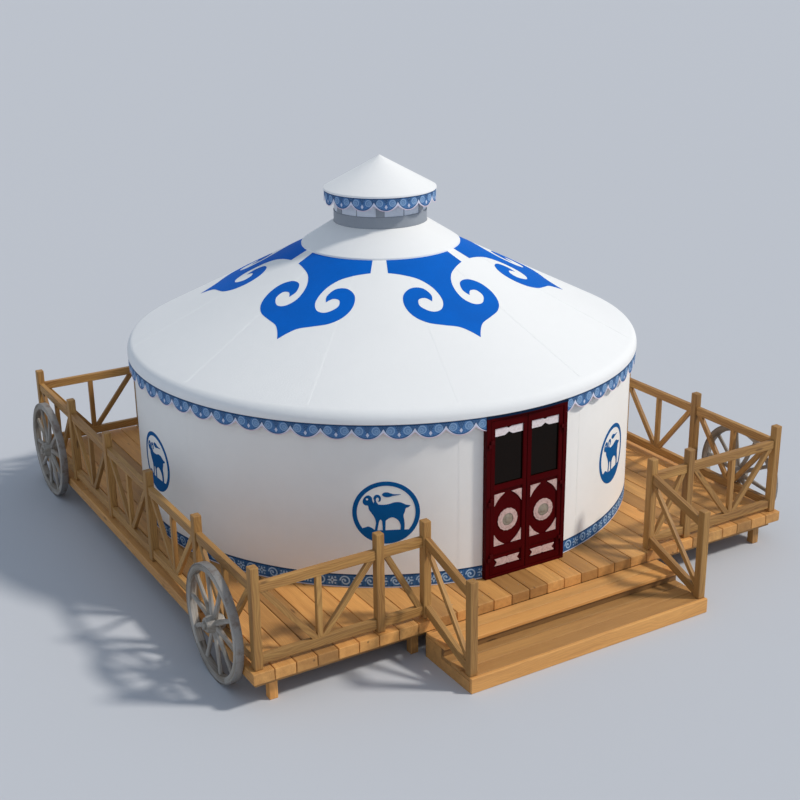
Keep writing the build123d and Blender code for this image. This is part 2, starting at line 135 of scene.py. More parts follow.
class YurtSizes(PropertyGroup):
    """The sizes that a user would change."""

    board_count: number_of("Deck boards", 30, "Boards across the deck", 2)
    board_gap: length("Board gap", 0.007, "Open joint between two deck boards")
    board_edge: length("Board edge", 0.008, "Rounding of a deck board's edges")
    timber_edge: length("Timber edge", 0.006, "Rounding of rails, braces and legs")
    post_edge: length("Post edge", 0.009, "Chamfer round the posts")
    nail_radius: length("Nail radius", 0.006, "Radius of a nail's head")
    spoke_count: number_of("Spokes", 10, "Spokes in a cart wheel", 4)
    felloe_count: number_of("Felloes", 5, "Wooden arcs in a wheel's rim", 2)
    tyre: length("Tyre", 0.008, "Thickness of a wheel's iron tyre")
    seam_count: number_of("Roof seams", 12, "Sewn seams down the roof", 1)
    seam_width: length("Seam width", 0.024, "Width of a sewn seam")
    stitch_pitch: length("Stitch pitch", 0.022, "Distance from stitch to stitch")
    cloth: length("Cloth", 0.0016, "Thickness of sewn-on cloth")
    eave_lappets: number_of("Eave lappets", 60, "Lappets round the eave", 6)
    eave_valley: length("Eave valley", 0.085, "Depth of the eave's valance between its lappets")
    cap_lappets: number_of("Cap lappets", 15, "Lappets round the crown's cap", 6)
    cap_valley: length("Cap valley", 0.087, "Depth of the cap's valance between its lappets")
    band_height: length("Band height", 0.155, "Height of the patterned band at the foot of the wall")
    medallion_radius: length("Medallion radius", 0.352, "Radius of the round figures on the wall")
    medallion_height: length("Medallion height", 1.272, "Height of the medallions' centres above the ground")
    lattice_bars: number_of("Lattice bars", 62, "Bars each way in the wall's lattice", 8)
    pole_count: number_of("Roof poles", 60, "Poles from the wall to the crown", 8)


class YurtColours(PropertyGroup):
    """The colours that a user would change."""

    deck_pale: colour("Deck, pale", (222, 170, 100), "Pale grain of the deck boards")
    deck_dark: colour("Deck, dark", (136, 90, 46), "Dark grain of the deck boards")
    rail_pale: colour("Rail, pale", (190, 146, 82), "Pale grain of posts and rails")
    rail_dark: colour("Rail, dark", (120, 78, 34), "Dark grain of posts and rails")
    wheel_pale: colour("Wheel, pale", (174, 166, 154), "Weathered grain of the wheels")
    wheel_dark: colour("Wheel, dark", (92, 82, 70), "Dark grain of the wheels")
    iron: colour("Iron", (150, 147, 143), "Tyres, bands and nails")
    roof: colour("Roof canvas", (242, 242, 241), "The roof, the collar and the cap")
    wall: colour("Wall canvas", (245, 242, 237), "The wall's cover")
    ornament: colour("Roof ornament", (0, 98, 196), "Cloth of the roof's ornaments")
    medallion: colour("Medallion", (4, 88, 148), "Cloth of the wall's medallions")
    print_deep: colour("Print, deep", (10, 56, 98), "Darkest blue of the printed strips")
    print_mid: colour("Print, middle", (62, 112, 168), "Ground of the printed strips")
    print_pale: colour("Print, pale", (168, 198, 226), "Lines of the printed strips")
    print_edge: colour("Print, edge", (214, 218, 234), "Border of the printed strips")
    print_stitch: colour("Print, stitch", (224, 178, 190), "Stitched rim of the valances")
    lacquer: colour("Lacquer", (68, 0, 3), "The door's red paint")
    carving: colour("Carving", (206, 176, 168), "The door's pale carvings")
    transom: colour("Transom", (234, 224, 224), "The strips over the door's panes")
    rosette: colour("Rosette", (150, 140, 124), "The middles of the door's round carvings")
    glass: colour("Glass", (18, 9, 4), "The door's dark panes")
    kerb: colour("Crown frame", (146, 152, 160), "The crown's kerb, posts and head")
    pane: colour("Crown pane", (214, 220, 230), "The crown's clouded panes")
    lining: colour("Lattice", (150, 74, 40), "Lattice and roof poles indoors")


def sizes():
    return bpy.context.scene.yurt_sizes


def colours():
    return bpy.context.scene.yurt_colours


# Node trees
class Socket:
    """An output in a node tree. Maths on it, written as an expression, adds the nodes."""

    def __init__(self, nodes, output):
        self.nodes = nodes
        self.output = output

    def maths(self, operation, *values, clamp=False):
        settings = {"operation": operation, "use_clamp": clamp}
        return self.nodes.add("ShaderNodeMath", dict(enumerate(values)), settings)

    def __add__(self, other):
        return self.maths("ADD", self, other)

    def __sub__(self, other):
        return self.maths("SUBTRACT", self, other)

    def __rsub__(self, other):
        return self.maths("SUBTRACT", other, self)

    def __mul__(self, other):
        return self.maths("MULTIPLY", self, other)

    def __truediv__(self, other):
        return self.maths("DIVIDE", self, other)

    def __pow__(self, other):
        return self.maths("POWER", self, other)

    def __abs__(self):
        return self.maths("ABSOLUTE", self)

    __radd__ = __add__
    __rmul__ = __mul__

    def fraction(self):
        return self.maths("FRACT", self)

    def sine(self):
        return self.maths("SINE", self)

    def least(self, other):
        return self.maths("MINIMUM", self, other)

    def most(self, other):
        return self.maths("MAXIMUM", self, other)

    def above(self, edge, soft):
        """1 where the value is over the edge and 0 under it, with a soft change between."""
        return self.maths("MULTIPLY_ADD", self, 1 / soft, 0.5 - edge / soft, clamp=True)

    def below(self, edge, soft):
        return self.maths("MULTIPLY_ADD", self, -1 / soft, 0.5 + edge / soft, clamp=True)


class Nodes:
    """A node tree being built, for a material or for Geometry Nodes."""

    def __init__(self, tree):
        self.tree = tree

    def add(self, kind, inputs=None, settings=None, output=0):
        node = self.tree.nodes.new(kind)
        for key, value in (settings or {}).items():
            setattr(node, key, value)
        for key, value in (inputs or {}).items():
            self.plug(node.inputs[key], value)
        return Socket(self, node.outputs[output])

    def plug(self, target, value):
        if isinstance(value, Socket):
            self.tree.links.new(value.output, target)
        elif target.type == "RGBA" and len(value) == 3:
            target.default_value = (*value, 1)
        else:
            target.default_value = value

    def mix(self, first, second, share):
        """A colour that goes from the first to the second as the share goes from 0 to 1."""
        return self.add("ShaderNodeMix", {0: share, 6: first, 7: second}, {"data_type": "RGBA"}, 2)

    def scaled(self, tint, amount):
        """A colour or vector times a number."""
        return self.add("ShaderNodeVectorMath", {0: tint, "Scale": amount}, {"operation": "SCALE"})

    def stretched(self, place, amounts):
        return self.add("ShaderNodeVectorMath", {0: place, 1: amounts}, {"operation": "MULTIPLY"})

    def moved(self, place, offset):
        return self.add("ShaderNodeVectorMath", {0: place, 1: offset}, {"operation": "ADD"})

    def joined(self, x, y, z=0.0):
        return self.add("ShaderNodeCombineXYZ", {0: x, 1: y, 2: z})

    def parts(self, vector):
        split = self.tree.nodes.new("ShaderNodeSeparateXYZ")
        self.plug(split.inputs[0], vector)
        return [Socket(self, output) for output in split.outputs]

    def noise(self, place, scale, detail=3.0, roughness=0.5):
        inputs = {"Vector": place, "Scale": scale, "Detail": detail, "Roughness": roughness}
        return self.add("ShaderNodeTexNoise", inputs)

    def attribute(self, name, output):
        return self.add("ShaderNodeAttribute", None, {"attribute_name": name}, output)

    def place(self):
        return self.add("ShaderNodeTexCoord", output="Object")

    def sewn(self):
        """The piece's own UV map, in metres or in repeats of its pattern."""
        return self.add("ShaderNodeTexCoord", output="UV")

    def warp(self, thread):
        """The ups and downs of a weave over the UV map."""
        u, v = self.parts(self.sewn())[:2]
        return (u * (2 * pi / thread)).sine() * (v * (2 * pi / thread)).sine()

    def bump(self, height, depth):
        return self.add("ShaderNodeBump", {"Height": height, "Distance": depth, "Strength": 1.0})


class Finish(Nodes):
    """A material being built round one Principled shader."""

    def __init__(self, name):
        self.material = bpy.data.materials.new(name)
        self.material.use_nodes = True
        super().__init__(self.material.node_tree)
        self.shader = self.tree.nodes["Principled BSDF"]

    def surface(self, **values):
        """Sets the shader's sockets, each named with underscores for its spaces."""
        for name, value in values.items():
            self.plug(self.shader.inputs[name.replace("_", " ")], value)
        return self.material


def wood(name, pale, dark, spread=0.5, rough=0.62, grain_depth=0.0012, silver=None, figure=1.0):
    """Sawn timber. It reads each member's own grain direction and tone."""
    finish = Finish(name)
    ring = 0.012
    tone = finish.attribute("tone", "Fac")
    grain = finish.moved(finish.attribute("grain", "Vector"), finish.joined(tone * 31, tone * 7, tone * 3))
    streaks = finish.noise(finish.stretched(grain, (0.9, 14, 14)), 1.0, 5.0, 0.62)
    fibres = finish.noise(finish.stretched(grain, (7, 150, 150)), 1.0, 3.0, 0.6)
    drift = finish.noise(finish.stretched(grain, (1.4, 5, 5)), 1.0, 2.0)
    across, through = finish.parts(grain)[1:]
    pith = ((across + drift * 0.09) ** 2 + (through + drift * 0.05) ** 2) ** 0.5
    rings = (pith * (2 * pi / ring)).sine() * 0.5 + 0.5
    weight = (streaks - 0.5) * (1.5 * figure) + (fibres - 0.5) * 0.5 + (rings - 0.5) * (0.3 * figure) + 0.5
    tint = finish.mix(dark, pale, weight.most(0.0).least(1.0))
    ruddy = [share * part for share, part in zip(pale, (0.86, 0.66, 0.46))]
    tint = finish.mix(tint, ruddy, (tone * 7.3).fraction() * spread * 0.5)
    if silver:
        patches = finish.noise(finish.stretched(grain, (2.2, 9, 9)), 1.0, 4.0, 0.6)
        tint = finish.mix(tint, silver, patches.above(0.56, 0.3) * 0.55)
    knots = finish.add(
        "ShaderNodeTexVoronoi", {"Vector": finish.stretched(grain, (1.3, 5.5, 5.5)), "Scale": 1.0}
    )
    knot = knots.below(0.075, 0.05)
    tint = finish.mix(tint, [share * 0.5 for share in dark], knot * 0.7)
    tint = finish.scaled(tint, tone * spread + (1 - spread / 2))
    height = fibres * 0.6 + rings * 0.25 + streaks * 0.3 - knot * 0.4
    return finish.surface(
        Base_Color=tint, Roughness=streaks * 0.2 + (rough - 0.1), Normal=finish.bump(height, grain_depth)
    )


def canvas(name, tint, dust):
    """Heavy woven cloth. Its weave follows the piece's UV map in metres, its dust the place."""
    finish = Finish(name)
    place = finish.place()
    clouds = finish.noise(place, 0.9, 4.0, 0.55)
    soil = finish.noise(place, 7.0, 5.0, 0.65)
    folds = finish.noise(finish.stretched(place, (2.6, 2.6, 0.7)), 1.0, 2.0)
    grey = (clouds - 0.5) * dust + (soil - 0.5) * (dust * 0.5) + 1.0
    height = finish.warp(0.0024) * 0.05 + soil * 0.25 + folds * 0.9
    return finish.surface(
        Base_Color=finish.scaled(tint, grey), Roughness=soil * 0.12 + 0.76,
        Normal=finish.bump(height, 0.0035), Sheen_Weight=0.12,
    )


def dyed_cloth(name, tint):
    """Plain dyed cloth, sewn on flat, a little uneven in its dye."""
    finish = Finish(name)
    place = finish.place()
    fade = finish.noise(place, 2.4, 5.0, 0.6)
    fleck = finish.noise(place, 60.0, 2.0)
    amount = (fade - 0.5) * 0.34 + (fleck - 0.5) * 0.14 + 1.0
    return finish.surface(
        Base_Color=finish.scaled(tint, amount), Roughness=fade * 0.2 + 0.6,
        Normal=finish.bump(finish.warp(0.0018) * 0.1 + fleck * 0.6 + fade * 0.5, 0.0012),
        Specular_IOR_Level=0.1,
    )


def ring_at(x, y, centre_x, centre_y, radius, width, soft):
    """A circle's line on a pattern, 1 on the line and 0 off it."""
    away = ((x - centre_x) ** 2 + (y - centre_y) ** 2) ** 0.5
    return abs(away - radius).below(width / 2, soft)


def lappet_swell(pitch, drop, valley):
    """The radius of a lappet's round end."""
    return ((pitch / 2) ** 2 + (drop - valley) ** 2) / (2 * (drop - valley))


def printed(finish, ground, layers, blotch, rough, pitch):
    """Lays a print's layers over its ground, each a colour with its share, on a fine weave."""
    tint = ground
    for over, share in layers:
        tint = finish.mix(tint, over, share)
    weave = finish.noise(finish.stretched(finish.sewn(), (pitch * 400, 400, 1)), 1.0, 2.0)
    return finish.surface(
        Base_Color=tint, Roughness=blotch * 0.15 + rough, Normal=finish.bump(weave, 0.0008),
        Specular_IOR_Level=0.25,
    )


def lappet_print(name, pitch, drop, valley):
    """The print of a valance. The UV map counts lappets across and metres down from the top."""
    finish = Finish(name)
    tints = colours()
    u, down = finish.parts(finish.sewn())[:2]
    x = (u.fraction() - 0.5) * pitch
    side = abs(x)
    soft = 0.006
    swell = lappet_swell(pitch, drop, valley)
    edge = down - (swell**2 - x**2) ** 0.5 + (swell - drop)
    blotch = finish.noise(finish.sewn(), 23.0, 3.0)
    eye_x, eye_y = pitch * 0.27, drop * 0.40
    disc = ring_at(side, down, eye_x, eye_y, 0.0, pitch * 0.25, soft)
    rounds = ring_at(side, down, eye_x, eye_y, pitch * 0.125, 0.009, soft)
    curl = ring_at(side, down, eye_x + 0.006, eye_y + 0.004, pitch * 0.052, 0.007, soft)
    wedge = (side + down * 0.5).below(pitch * 0.16, soft)
    gusset = ((pitch / 2 - side) + down * 0.55).below(pitch * 0.20, soft)
    flecks = finish.noise(finish.sewn(), 90.0, 2.0, 0.7)
    petal = (side * 1.5 + abs(down - drop * 0.67)).below(0.026, soft)
    margin = 0.009 + (side * (2 / pitch)) ** 3.0 * 0.034
    hem = abs(edge + margin + 0.005).below(0.005, 0.005)
    layers = (
        (tints.print_deep, blotch.above(0.56, 0.25) * 0.35),
        (tints.print_pale, disc * 0.2),
        (tints.print_pale, rounds * 0.65),
        (tints.print_pale, curl * 0.5),
        (tints.print_deep, wedge * 0.6),
        (tints.print_deep, gusset * 0.65),
        (tints.print_pale, flecks.above(0.56, 0.12) * 0.4),
        (tints.print_edge, petal * 0.9),
        (tints.print_deep, hem * 0.8),
        (tints.print_edge, (edge + margin).above(0.0, 0.004)),
        (tints.print_stitch, edge.above(-0.0045, 0.002)),
        (tints.print_deep, down.below(0.016, 0.006) * 0.8),
    )
    return printed(finish, tints.print_mid, layers, blotch, 0.68, pitch)


def band_print(name, pitch, height):
    """The print of the band at the wall's foot. The UV map counts repeats across and metres up."""
    finish = Finish(name)
    tints = colours()
    u, up = finish.parts(finish.sewn())[:2]
    x = (u.fraction() - 0.5) * pitch
    y = up - height / 2
    soft = 0.006
    blotch = finish.noise(finish.sewn(), 17.0, 4.0)
    turn, stroke = height * 0.32, 0.0145
    upper = y.above(0.0, 0.003)
    scroll = ring_at(x, y, 0.0, 0.0, turn, stroke, soft) * upper
    scroll = scroll.most(ring_at(x, y, turn * 0.22, 0.0, turn * 0.78, stroke, soft) * (1 - upper))
    scroll = scroll.most(ring_at(x, y, turn * -0.22, 0.0, turn * 0.34, stroke, soft) * upper)
    scroll = scroll.most(ring_at(x, y, turn * 0.08, 0.0, 0.0, 0.022, soft))
    far = pitch / 2 - abs(x)
    lying_petals = ((far / (pitch * 0.2)) ** 2 + (y / (height * 0.085)) ** 2).below(1.0, 0.4)
    upright_petals = ((far / (height * 0.085)) ** 2 + (y / (height * 0.29)) ** 2).below(1.0, 0.4)
    dots = ring_at(far, abs(y), pitch * 0.12, height * 0.22, 0.0, 0.020, soft)
    flower = lying_petals.most(upright_petals).most(dots)
    layers = (
        (tints.print_deep, blotch.above(0.5, 0.3) * 0.7),
        (tints.print_pale, scroll * 0.95),
        (tints.print_pale, flower * 0.9),
        (tints.print_deep, ring_at(far, y, 0.0, 0.0, 0.0, 0.020, soft)),
        (tints.print_deep, abs(y).above(height * 0.4, 0.006) * 0.95),
        (tints.print_edge, up.below(0.012, 0.005)),
    )
    return printed(finish, tints.print_mid, layers, blotch, 0.66, pitch)


def lacquer(name, tint):
    """Dark red gloss paint over timber, thin on the grain and dusty in places."""
    finish = Finish(name)
    tone = finish.attribute("tone", "Fac")
    grain = finish.moved(finish.attribute("grain", "Vector"), finish.joined(tone * 17, tone * 5, tone * 3))
    fibres = finish.noise(finish.stretched(grain, (4, 70, 70)), 1.0, 3.0, 0.55)
    fade = finish.noise(grain, 2.1, 4.0, 0.6)
    tint = finish.scaled(tint, fade * 0.7 + fibres * 0.2 + tone * 0.12 + 0.52)
    return finish.surface(
        Base_Color=tint, Roughness=fade * 0.22 + 0.36, Specular_IOR_Level=0.05,
        Normal=finish.bump(fibres * 0.5 + fade * 0.5, 0.0007),
    )


def carved(name, tint, dark):
    """Pale painted carving, with dirt in its hollows."""
    finish = Finish(name)
    place = finish.place()
    dirt = finish.noise(place, 38.0, 5.0, 0.65)
    chips = finish.noise(place, 150.0, 3.0)
    tint = finish.mix(tint, dark, dirt.above(0.57, 0.22) * 0.5)
    return finish.surface(
        Base_Color=tint, Roughness=dirt * 0.25 + 0.48, Normal=finish.bump(dirt * 0.7 + chips * 0.3, 0.0015)
    )


def metal(name, tint, metallic, rough, mottle=0.3, rust=None, gloss=0.5):
    finish = Finish(name)
    place = finish.place()
    patch = finish.noise(place, 9.0, 5.0, 0.6)
    pits = finish.noise(place, 120.0, 3.0)
    shade = finish.scaled(tint, (patch - 0.5) * mottle + (pits - 0.5) * 0.15 + 1.0)
    if rust:
        shade = finish.mix(shade, rust, patch.above(0.58, 0.16) * 0.6)
    return finish.surface(
        Base_Color=shade, Metallic=metallic, Roughness=patch * 0.25 + (rough - 0.12),
        Specular_IOR_Level=gloss, Normal=finish.bump(pits * 0.5 + patch * 0.5, 0.0008),
    )


def dark_glass(name, tint):
    finish = Finish(name)
    place = finish.place()
    haze = finish.noise(place, 5.0, 4.0, 0.6)
    ripple = finish.noise(place, 14.0, 1.0)
    return finish.surface(
        Base_Color=finish.scaled(tint, haze * 0.8 + 0.6), Roughness=haze * 0.14 + 0.08,
        Specular_IOR_Level=0.1, Normal=finish.bump(ripple, 0.0006),
    )


def clouded_pane(name, tint):
    finish = Finish(name)
    place = finish.place()
    haze = finish.noise(place, 6.0, 4.0, 0.6)
    streak = finish.noise(finish.stretched(place, (9, 9, 1.2)), 1.0, 3.0)
    amount = (haze - 0.5) * 0.16 + (streak - 0.5) * 0.14 + 1.0
    return finish.surface(
        Base_Color=finish.scaled(tint, amount), Roughness=haze * 0.2 + 0.22,
        Normal=finish.bump(streak, 0.0008),
    )


finishes = {}


def finish_of(name):
    """Each material is made once, when its first piece asks for it."""
    if name not in finishes:
        tints = colours()
        make = {
            "deck_wood": lambda: wood(name, tints.deck_pale, tints.deck_dark, spread=0.8, figure=0.8),
            "stair_wood": lambda: wood(name, tints.deck_pale, tints.deck_dark, spread=0.7, figure=0.5),
            # The risers' wide tone spread strengthens the painted highlight on the front riser and the
            # painted shade on the back riser
            "riser_wood": lambda: wood(name, tints.deck_pale, tints.deck_dark, spread=1.3, figure=0.5),
            "rail_wood": lambda: wood(name, tints.rail_pale, tints.rail_dark, spread=0.34),
            "wheel_wood": lambda: wood(
                name, tints.wheel_pale, tints.wheel_dark, spread=0.3, rough=0.8, grain_depth=0.002,
                silver=srgb(206, 204, 200),
            ),
            "lattice_wood": lambda: wood(name, tints.lining, [share * 0.5 for share in tints.lining]),
            "iron": lambda: metal(name, tints.iron, 0.55, 0.55, rust=srgb(104, 78, 62)),
            "hinge_metal": lambda: metal(name, tints.lacquer, 0.0, 0.6, gloss=0.1),
            "roof_canvas": lambda: canvas(name, tints.roof, 0.05),
            "wall_canvas": lambda: canvas(name, tints.wall, 0.09),
            "ornament_cloth": lambda: dyed_cloth(name, tints.ornament),
            "medallion_cloth": lambda: dyed_cloth(name, tints.medallion),
            # Near-black blue for the strip over the door, which is painted shade
            "hem_cloth": lambda: dyed_cloth(name, [share * 0.4 for share in tints.print_deep]),
            "lacquer": lambda: lacquer(name, tints.lacquer),
            "carving": lambda: carved(name, tints.carving, srgb(130, 84, 80)),
            "transom": lambda: carved(name, tints.transom, srgb(196, 168, 166)),
            "rosette": lambda: carved(name, tints.rosette, srgb(96, 82, 70)),
            "door_glass": lambda: dark_glass(name, tints.glass),
            "crown_frame": lambda: metal(name, tints.kerb, 0.0, 0.55, mottle=0.18),
            "crown_glass": lambda: clouded_pane(name, tints.pane),
        }
        finishes[name] = make[name]()
    return finishes[name]


# Meshes
def new_object(name, data):
    """An object that is linked to the scene."""
    made = bpy.data.objects.new(name, data)
    bpy.context.scene.collection.objects.link(made)
    return made


def add_piece(name, shape, finish, slot, *nodes, body="root", smooth_to=None):
    """Shows a shape as a piece that rides on a body, with the finish it names, and stands for nodes. The
    slot is not used.
    """
    if isinstance(shape, Timber):
        shape = shape.mesh(name, smooth_to)
    elif isinstance(shape, bmesh.types.BMesh):
        shape = to_mesh(name, shape, smooth_to)
    shape.materials.clear()
    shape.materials.append(finish_of(finish))
    piece = new_object(name, shape)
    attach(piece, body)
    if nodes:
        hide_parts(*nodes)
    return piece


def to_mesh(name, shape, smooth_to=None):
    """Turns a bmesh into a mesh. Edges that turn by less than smooth_to degrees are shaded smooth."""
    if smooth_to is not None:
        limit = radians(smooth_to)
        for face in shape.faces:
            face.smooth = True
        for edge in shape.edges:
            edge.smooth = len(edge.link_faces) == 2 and edge.calc_face_angle(0.0) < limit
    mesh = bpy.data.meshes.new(name)
    shape.to_mesh(mesh)
    shape.free()
    return mesh


def lying(start, end, across, up=None):
    """The matrix that lays a member from start to end, its width along across and its depth along up."""
    run = (Vector(end) - Vector(start)).normalized()
    across = Vector(across)
    up = Vector(up) if up else run.cross(across)
    middle = (Vector(start) + Vector(end)) / 2
    return Matrix.Translation(middle) @ Matrix((run, across, up)).transposed().to_4x4()


class Timber:
    """Gathers members of wood into one mesh, each with its own grain and tone."""

    def __init__(self, seed=0, toned=True):
        self.shape = bmesh.new()
        self.grain = self.shape.verts.layers.float_vector.new("grain")
        self.tone = self.shape.verts.layers.float.new("tone") if toned else None
        self.random = Random(seed)

    def take(self, points, grains, faces, tone=None):
        if tone is None:
            tone = self.random.random()
        verts = []
        for point, grain in zip(points, grains):
            vert = self.shape.verts.new(point)
            vert[self.grain] = grain
            if self.tone:
                vert[self.tone] = tone
            verts.append(vert)
        for face in faces:
            self.shape.faces.new([verts[number] for number in face])

    def block(self, size, place, edge, tone=None):
        """A squared member of (length, width, depth) with rounded edges, moved to its place by a matrix."""
        box = bmesh.new()
        bmesh.ops.create_cube(box, size=1, matrix=Matrix.Diagonal((*size, 1)))
        bmesh.ops.bevel(
            box, geom=box.edges[:], offset=edge, segments=2, profile=0.5, affect="EDGES", clamp_overlap=True
        )
        box.verts.index_update()
        grains = [vert.co.copy() for vert in box.verts]
        faces = [[vert.index for vert in face.verts] for face in box.faces]
        self.take([place @ grain for grain in grains], grains, faces, tone)
        box.free()

    def bar(self, start, end, width, depth, across, edge, up=None, tone=None):
        """A squared member between two points."""
        run = (Vector(end) - Vector(start)).length
        self.block((run, width, depth), lying(start, end, across, up), edge, tone)

    def between(self, low, high, edge, along="x", tone=None):
        """A squared member that fills the box between two corners, with its grain along an axis."""
        low = Vector(low)
        high = Vector(high)
        size = high - low
        turn, order = {
            "x": (Matrix.Identity(4), size),
            "y": (rotation(90, "Z"), size.yxz),
            "z": (rotation(-90, "Y"), size.zyx),
        }[along]
        self.block(order, Matrix.Translation((low + high) / 2) @ turn, edge, tone)

    def upright(self, x, y, width, foot, top, edge):
        """A square member that stands on end."""
        half = width / 2
        self.between((x - half, y - half, foot), (x + half, y + half, top), edge, along="z")

    def swept(self, frames, section, tone=None):
        """A member that carries a section of (y, z) points through a run of matrices."""
        points, grains, faces = [], [], []
        sides = len(section)
        way = 0.0
        for number, matrix in enumerate(frames):
            if number:
                way += (matrix.translation - frames[number - 1].translation).length
            for y, z in section:
                points.append(matrix @ Vector((0, y, z)))
                grains.append(Vector((way, y, z)))
        for number in range(len(frames) - 1):
            first = number * sides
            for side in range(sides):
                after = (side + 1) % sides
                faces.append((first + side, first + after, first + sides + after, first + sides + side))
        faces.append(range(sides - 1, -1, -1))
        faces.append(range(len(points) - sides, len(points)))
        self.take(points, grains, faces, tone)

    def mesh(self, name, smooth_to=None):
        bmesh.ops.recalc_face_normals(self.shape, faces=self.shape.faces[:])
        return to_mesh(name, self.shape, smooth_to)


def whole_outline(half):
    """An outline whose second half is its first turned half round."""
    return half + [(-x, -y) for x, y in half]


def rounded(width, depth, edge):
    """A rectangle's outline with its corners cut."""
    y, z = width / 2, depth / 2
    return whole_outline([(-y + edge, -z), (y - edge, -z), (y, -z + edge), (y, z - edge)])


def circle(radius, sides):
    return [(radius * cos(2 * pi * n / sides), radius * sin(2 * pi * n / sides)) for n in range(sides)]


def at(x, y, z):
    return Matrix.Translation((x, y, z))


def rotation(angle, axis):
    return Matrix.Rotation(radians(angle), 4, axis)


def around(bearing, radius, height):
    """The point at a bearing in degrees, seen from above, counted from the door towards +X."""
    return Vector((radius * sin(radians(bearing)), -radius * cos(radians(bearing)), height))


def mended(shape):
    """Merges doubled points and turns the faces outwards."""
    bmesh.ops.remove_doubles(shape, verts=shape.verts[:], dist=1e-6)
    bmesh.ops.recalc_face_normals(shape, faces=shape.faces[:])
    return shape


def lathe(outline, first=0.0, last=360.0, steps=180, cut=None, shape=None):
    """Turns a closed outline of (radius, height) points about Z. A cut is half the width of a doorway."""
    shape = shape or bmesh.new()
    sewn = shape.loops.layers.uv.verify()
    ways = [0.0]
    for (r0, z0), (r1, z1) in zip(outline, outline[1:] + outline[:1]):
        ways.append(ways[-1] + hypot(r1 - r0, z1 - z0))
    whole = last - first > 359.9 and not cut
    rows = []
    for step in range(steps if whole else steps + 1):
        share = step / steps
        row = []
        for radius, height in outline:
            start, stop = first, last
            if cut:
                door = degrees(asin(cut / radius))
                start, stop = first + door, last - door
            row.append(shape.verts.new(around(start + share * (stop - start), radius, height)))
        rows.append(row)
    count = len(outline)
    widest = max(radius for radius, height in outline)
    turn = radians(last - first) / steps * widest
    for step in range(steps):
        here, there = rows[step], rows[(step + 1) % len(rows)]
        for number in range(count):
            after = (number + 1) % count
            face = shape.faces.new((here[number], there[number], there[after], here[after]))
            marks = ((step, number), (step + 1, number), (step + 1, number + 1), (step, number + 1))
            for loop, (across, along) in zip(face.loops, marks):
                loop[sewn].uv = (across * turn, ways[along])
    if not whole:
        shape.faces.new(rows[0])
        shape.faces.new(reversed(rows[-1]))
    return mended(shape)


def slab(inner, outer, low, high):
    """The outline of a plain ring between two radii and two heights."""
    return [(inner, low), (outer, low), (outer, high), (inner, high)]


def arc(centre, radius, first, last, steps):
    """Points of (radius, height) along a circle, from one angle to another, in degrees above level."""
    angles = [radians(first + (last - first) * step / steps) for step in range(steps + 1)]
    return [(centre[0] + radius * cos(angle), centre[1] + radius * sin(angle)) for angle in angles]


def line(start, end, steps):
    """Points from start up to but not at end."""
    (x0, y0), (x1, y1) = start, end
    return [(x0 + (x1 - x0) * n / steps, y0 + (y1 - y0) * n / steps) for n in range(steps)]


def smoothed(knots, steps=6):
    """A smooth run of points through a few knots."""
    ends = [knots[0], *knots, knots[-1]]
    points = []
    for knot_run in zip(ends, ends[1:], ends[2:], ends[3:]):
        for number in range(steps):
            t = number / steps
            points.append(tuple(
                0.5 * (
                    2 * b + (c - a) * t + (2 * a - 5 * b + 4 * c - d) * t**2 + (3 * b - a - 3 * c + d) * t**3
                )
                for a, b, c, d in zip(*knot_run)
            ))
    points.append(knots[-1])
    return points


def without_repeats(points, last, near=1e-5):
    """Leaves out each point that lies on the one after it. What comes after the last one is given."""
    pairs = zip(points, points[1:] + [last])
    return [point for point, after in pairs if after is None or dist(point, after) > near]


def outline_of(*runs):
    """A closed outline from runs of knots that meet at corners."""
    points = []
    for run in runs:
        points += smoothed(run) if len(run) > 2 else list(run)
    return without_repeats(points, points[0])


def cut_sheet(outlines, thickness):
    """A flat sheet cut to closed outlines. An outline inside another is a hole. Its back lies at z 0."""
    curve = bpy.data.curves.new("cut", "CURVE")
    curve.dimensions = "2D"
    curve.fill_mode = "BOTH"
    curve.extrude = thickness / 2
    for outline in outlines:
        spline = curve.splines.new("POLY")
        spline.points.add(len(outline) - 1)
        for point, (x, y) in zip(spline.points, outline):
            point.co = (x, y, 0, 1)
        spline.use_cyclic_u = True
    holder = new_object("cut", curve)
    graph = bpy.context.evaluated_depsgraph_get()
    mesh = bpy.data.meshes.new_from_object(holder.evaluated_get(graph))
    shape = bmesh.new()
    shape.from_mesh(mesh)
    bmesh.ops.translate(mended(shape), verts=shape.verts[:], vec=(0, 0, thickness / 2))
    bpy.data.objects.remove(holder)
    bpy.data.curves.remove(curve)
    bpy.data.meshes.remove(mesh)
    return shape


def sew_flat(shape):
    """Gives a flat sheet a UV map in metres before it is bent to its place."""
    sewn = shape.loops.layers.uv.verify()
    for face in shape.faces:
        for loop in face.loops:
            loop[sewn].uv = loop.vert.co.xy


def joined_shape(shapes):
    whole = bmesh.new()
    for shape in shapes:
        mesh = bpy.data.meshes.new("part")
        shape.to_mesh(mesh)
        shape.free()
        whole.from_mesh(mesh)
        bpy.data.meshes.remove(mesh)
    return whole


# Geometry Nodes
def new_tree(name, inputs):
    """A Geometry Nodes tree with named inputs, and the group's input and output nodes."""
    tree = bpy.data.node_groups.new(name, "GeometryNodeTree")
    tree.interface.new_socket("Geometry", in_out="INPUT", socket_type="NodeSocketGeometry")
    for label, kind in inputs.items():
        tree.interface.new_socket(label, in_out="INPUT", socket_type=f"NodeSocket{kind}")
    tree.interface.new_socket("Geometry", in_out="OUTPUT", socket_type="NodeSocketGeometry")
    nodes = Nodes(tree)
    entry = tree.nodes.new("NodeGroupInput")
    given = {output.name: Socket(nodes, output) for output in entry.outputs if output.name}
    return nodes, given


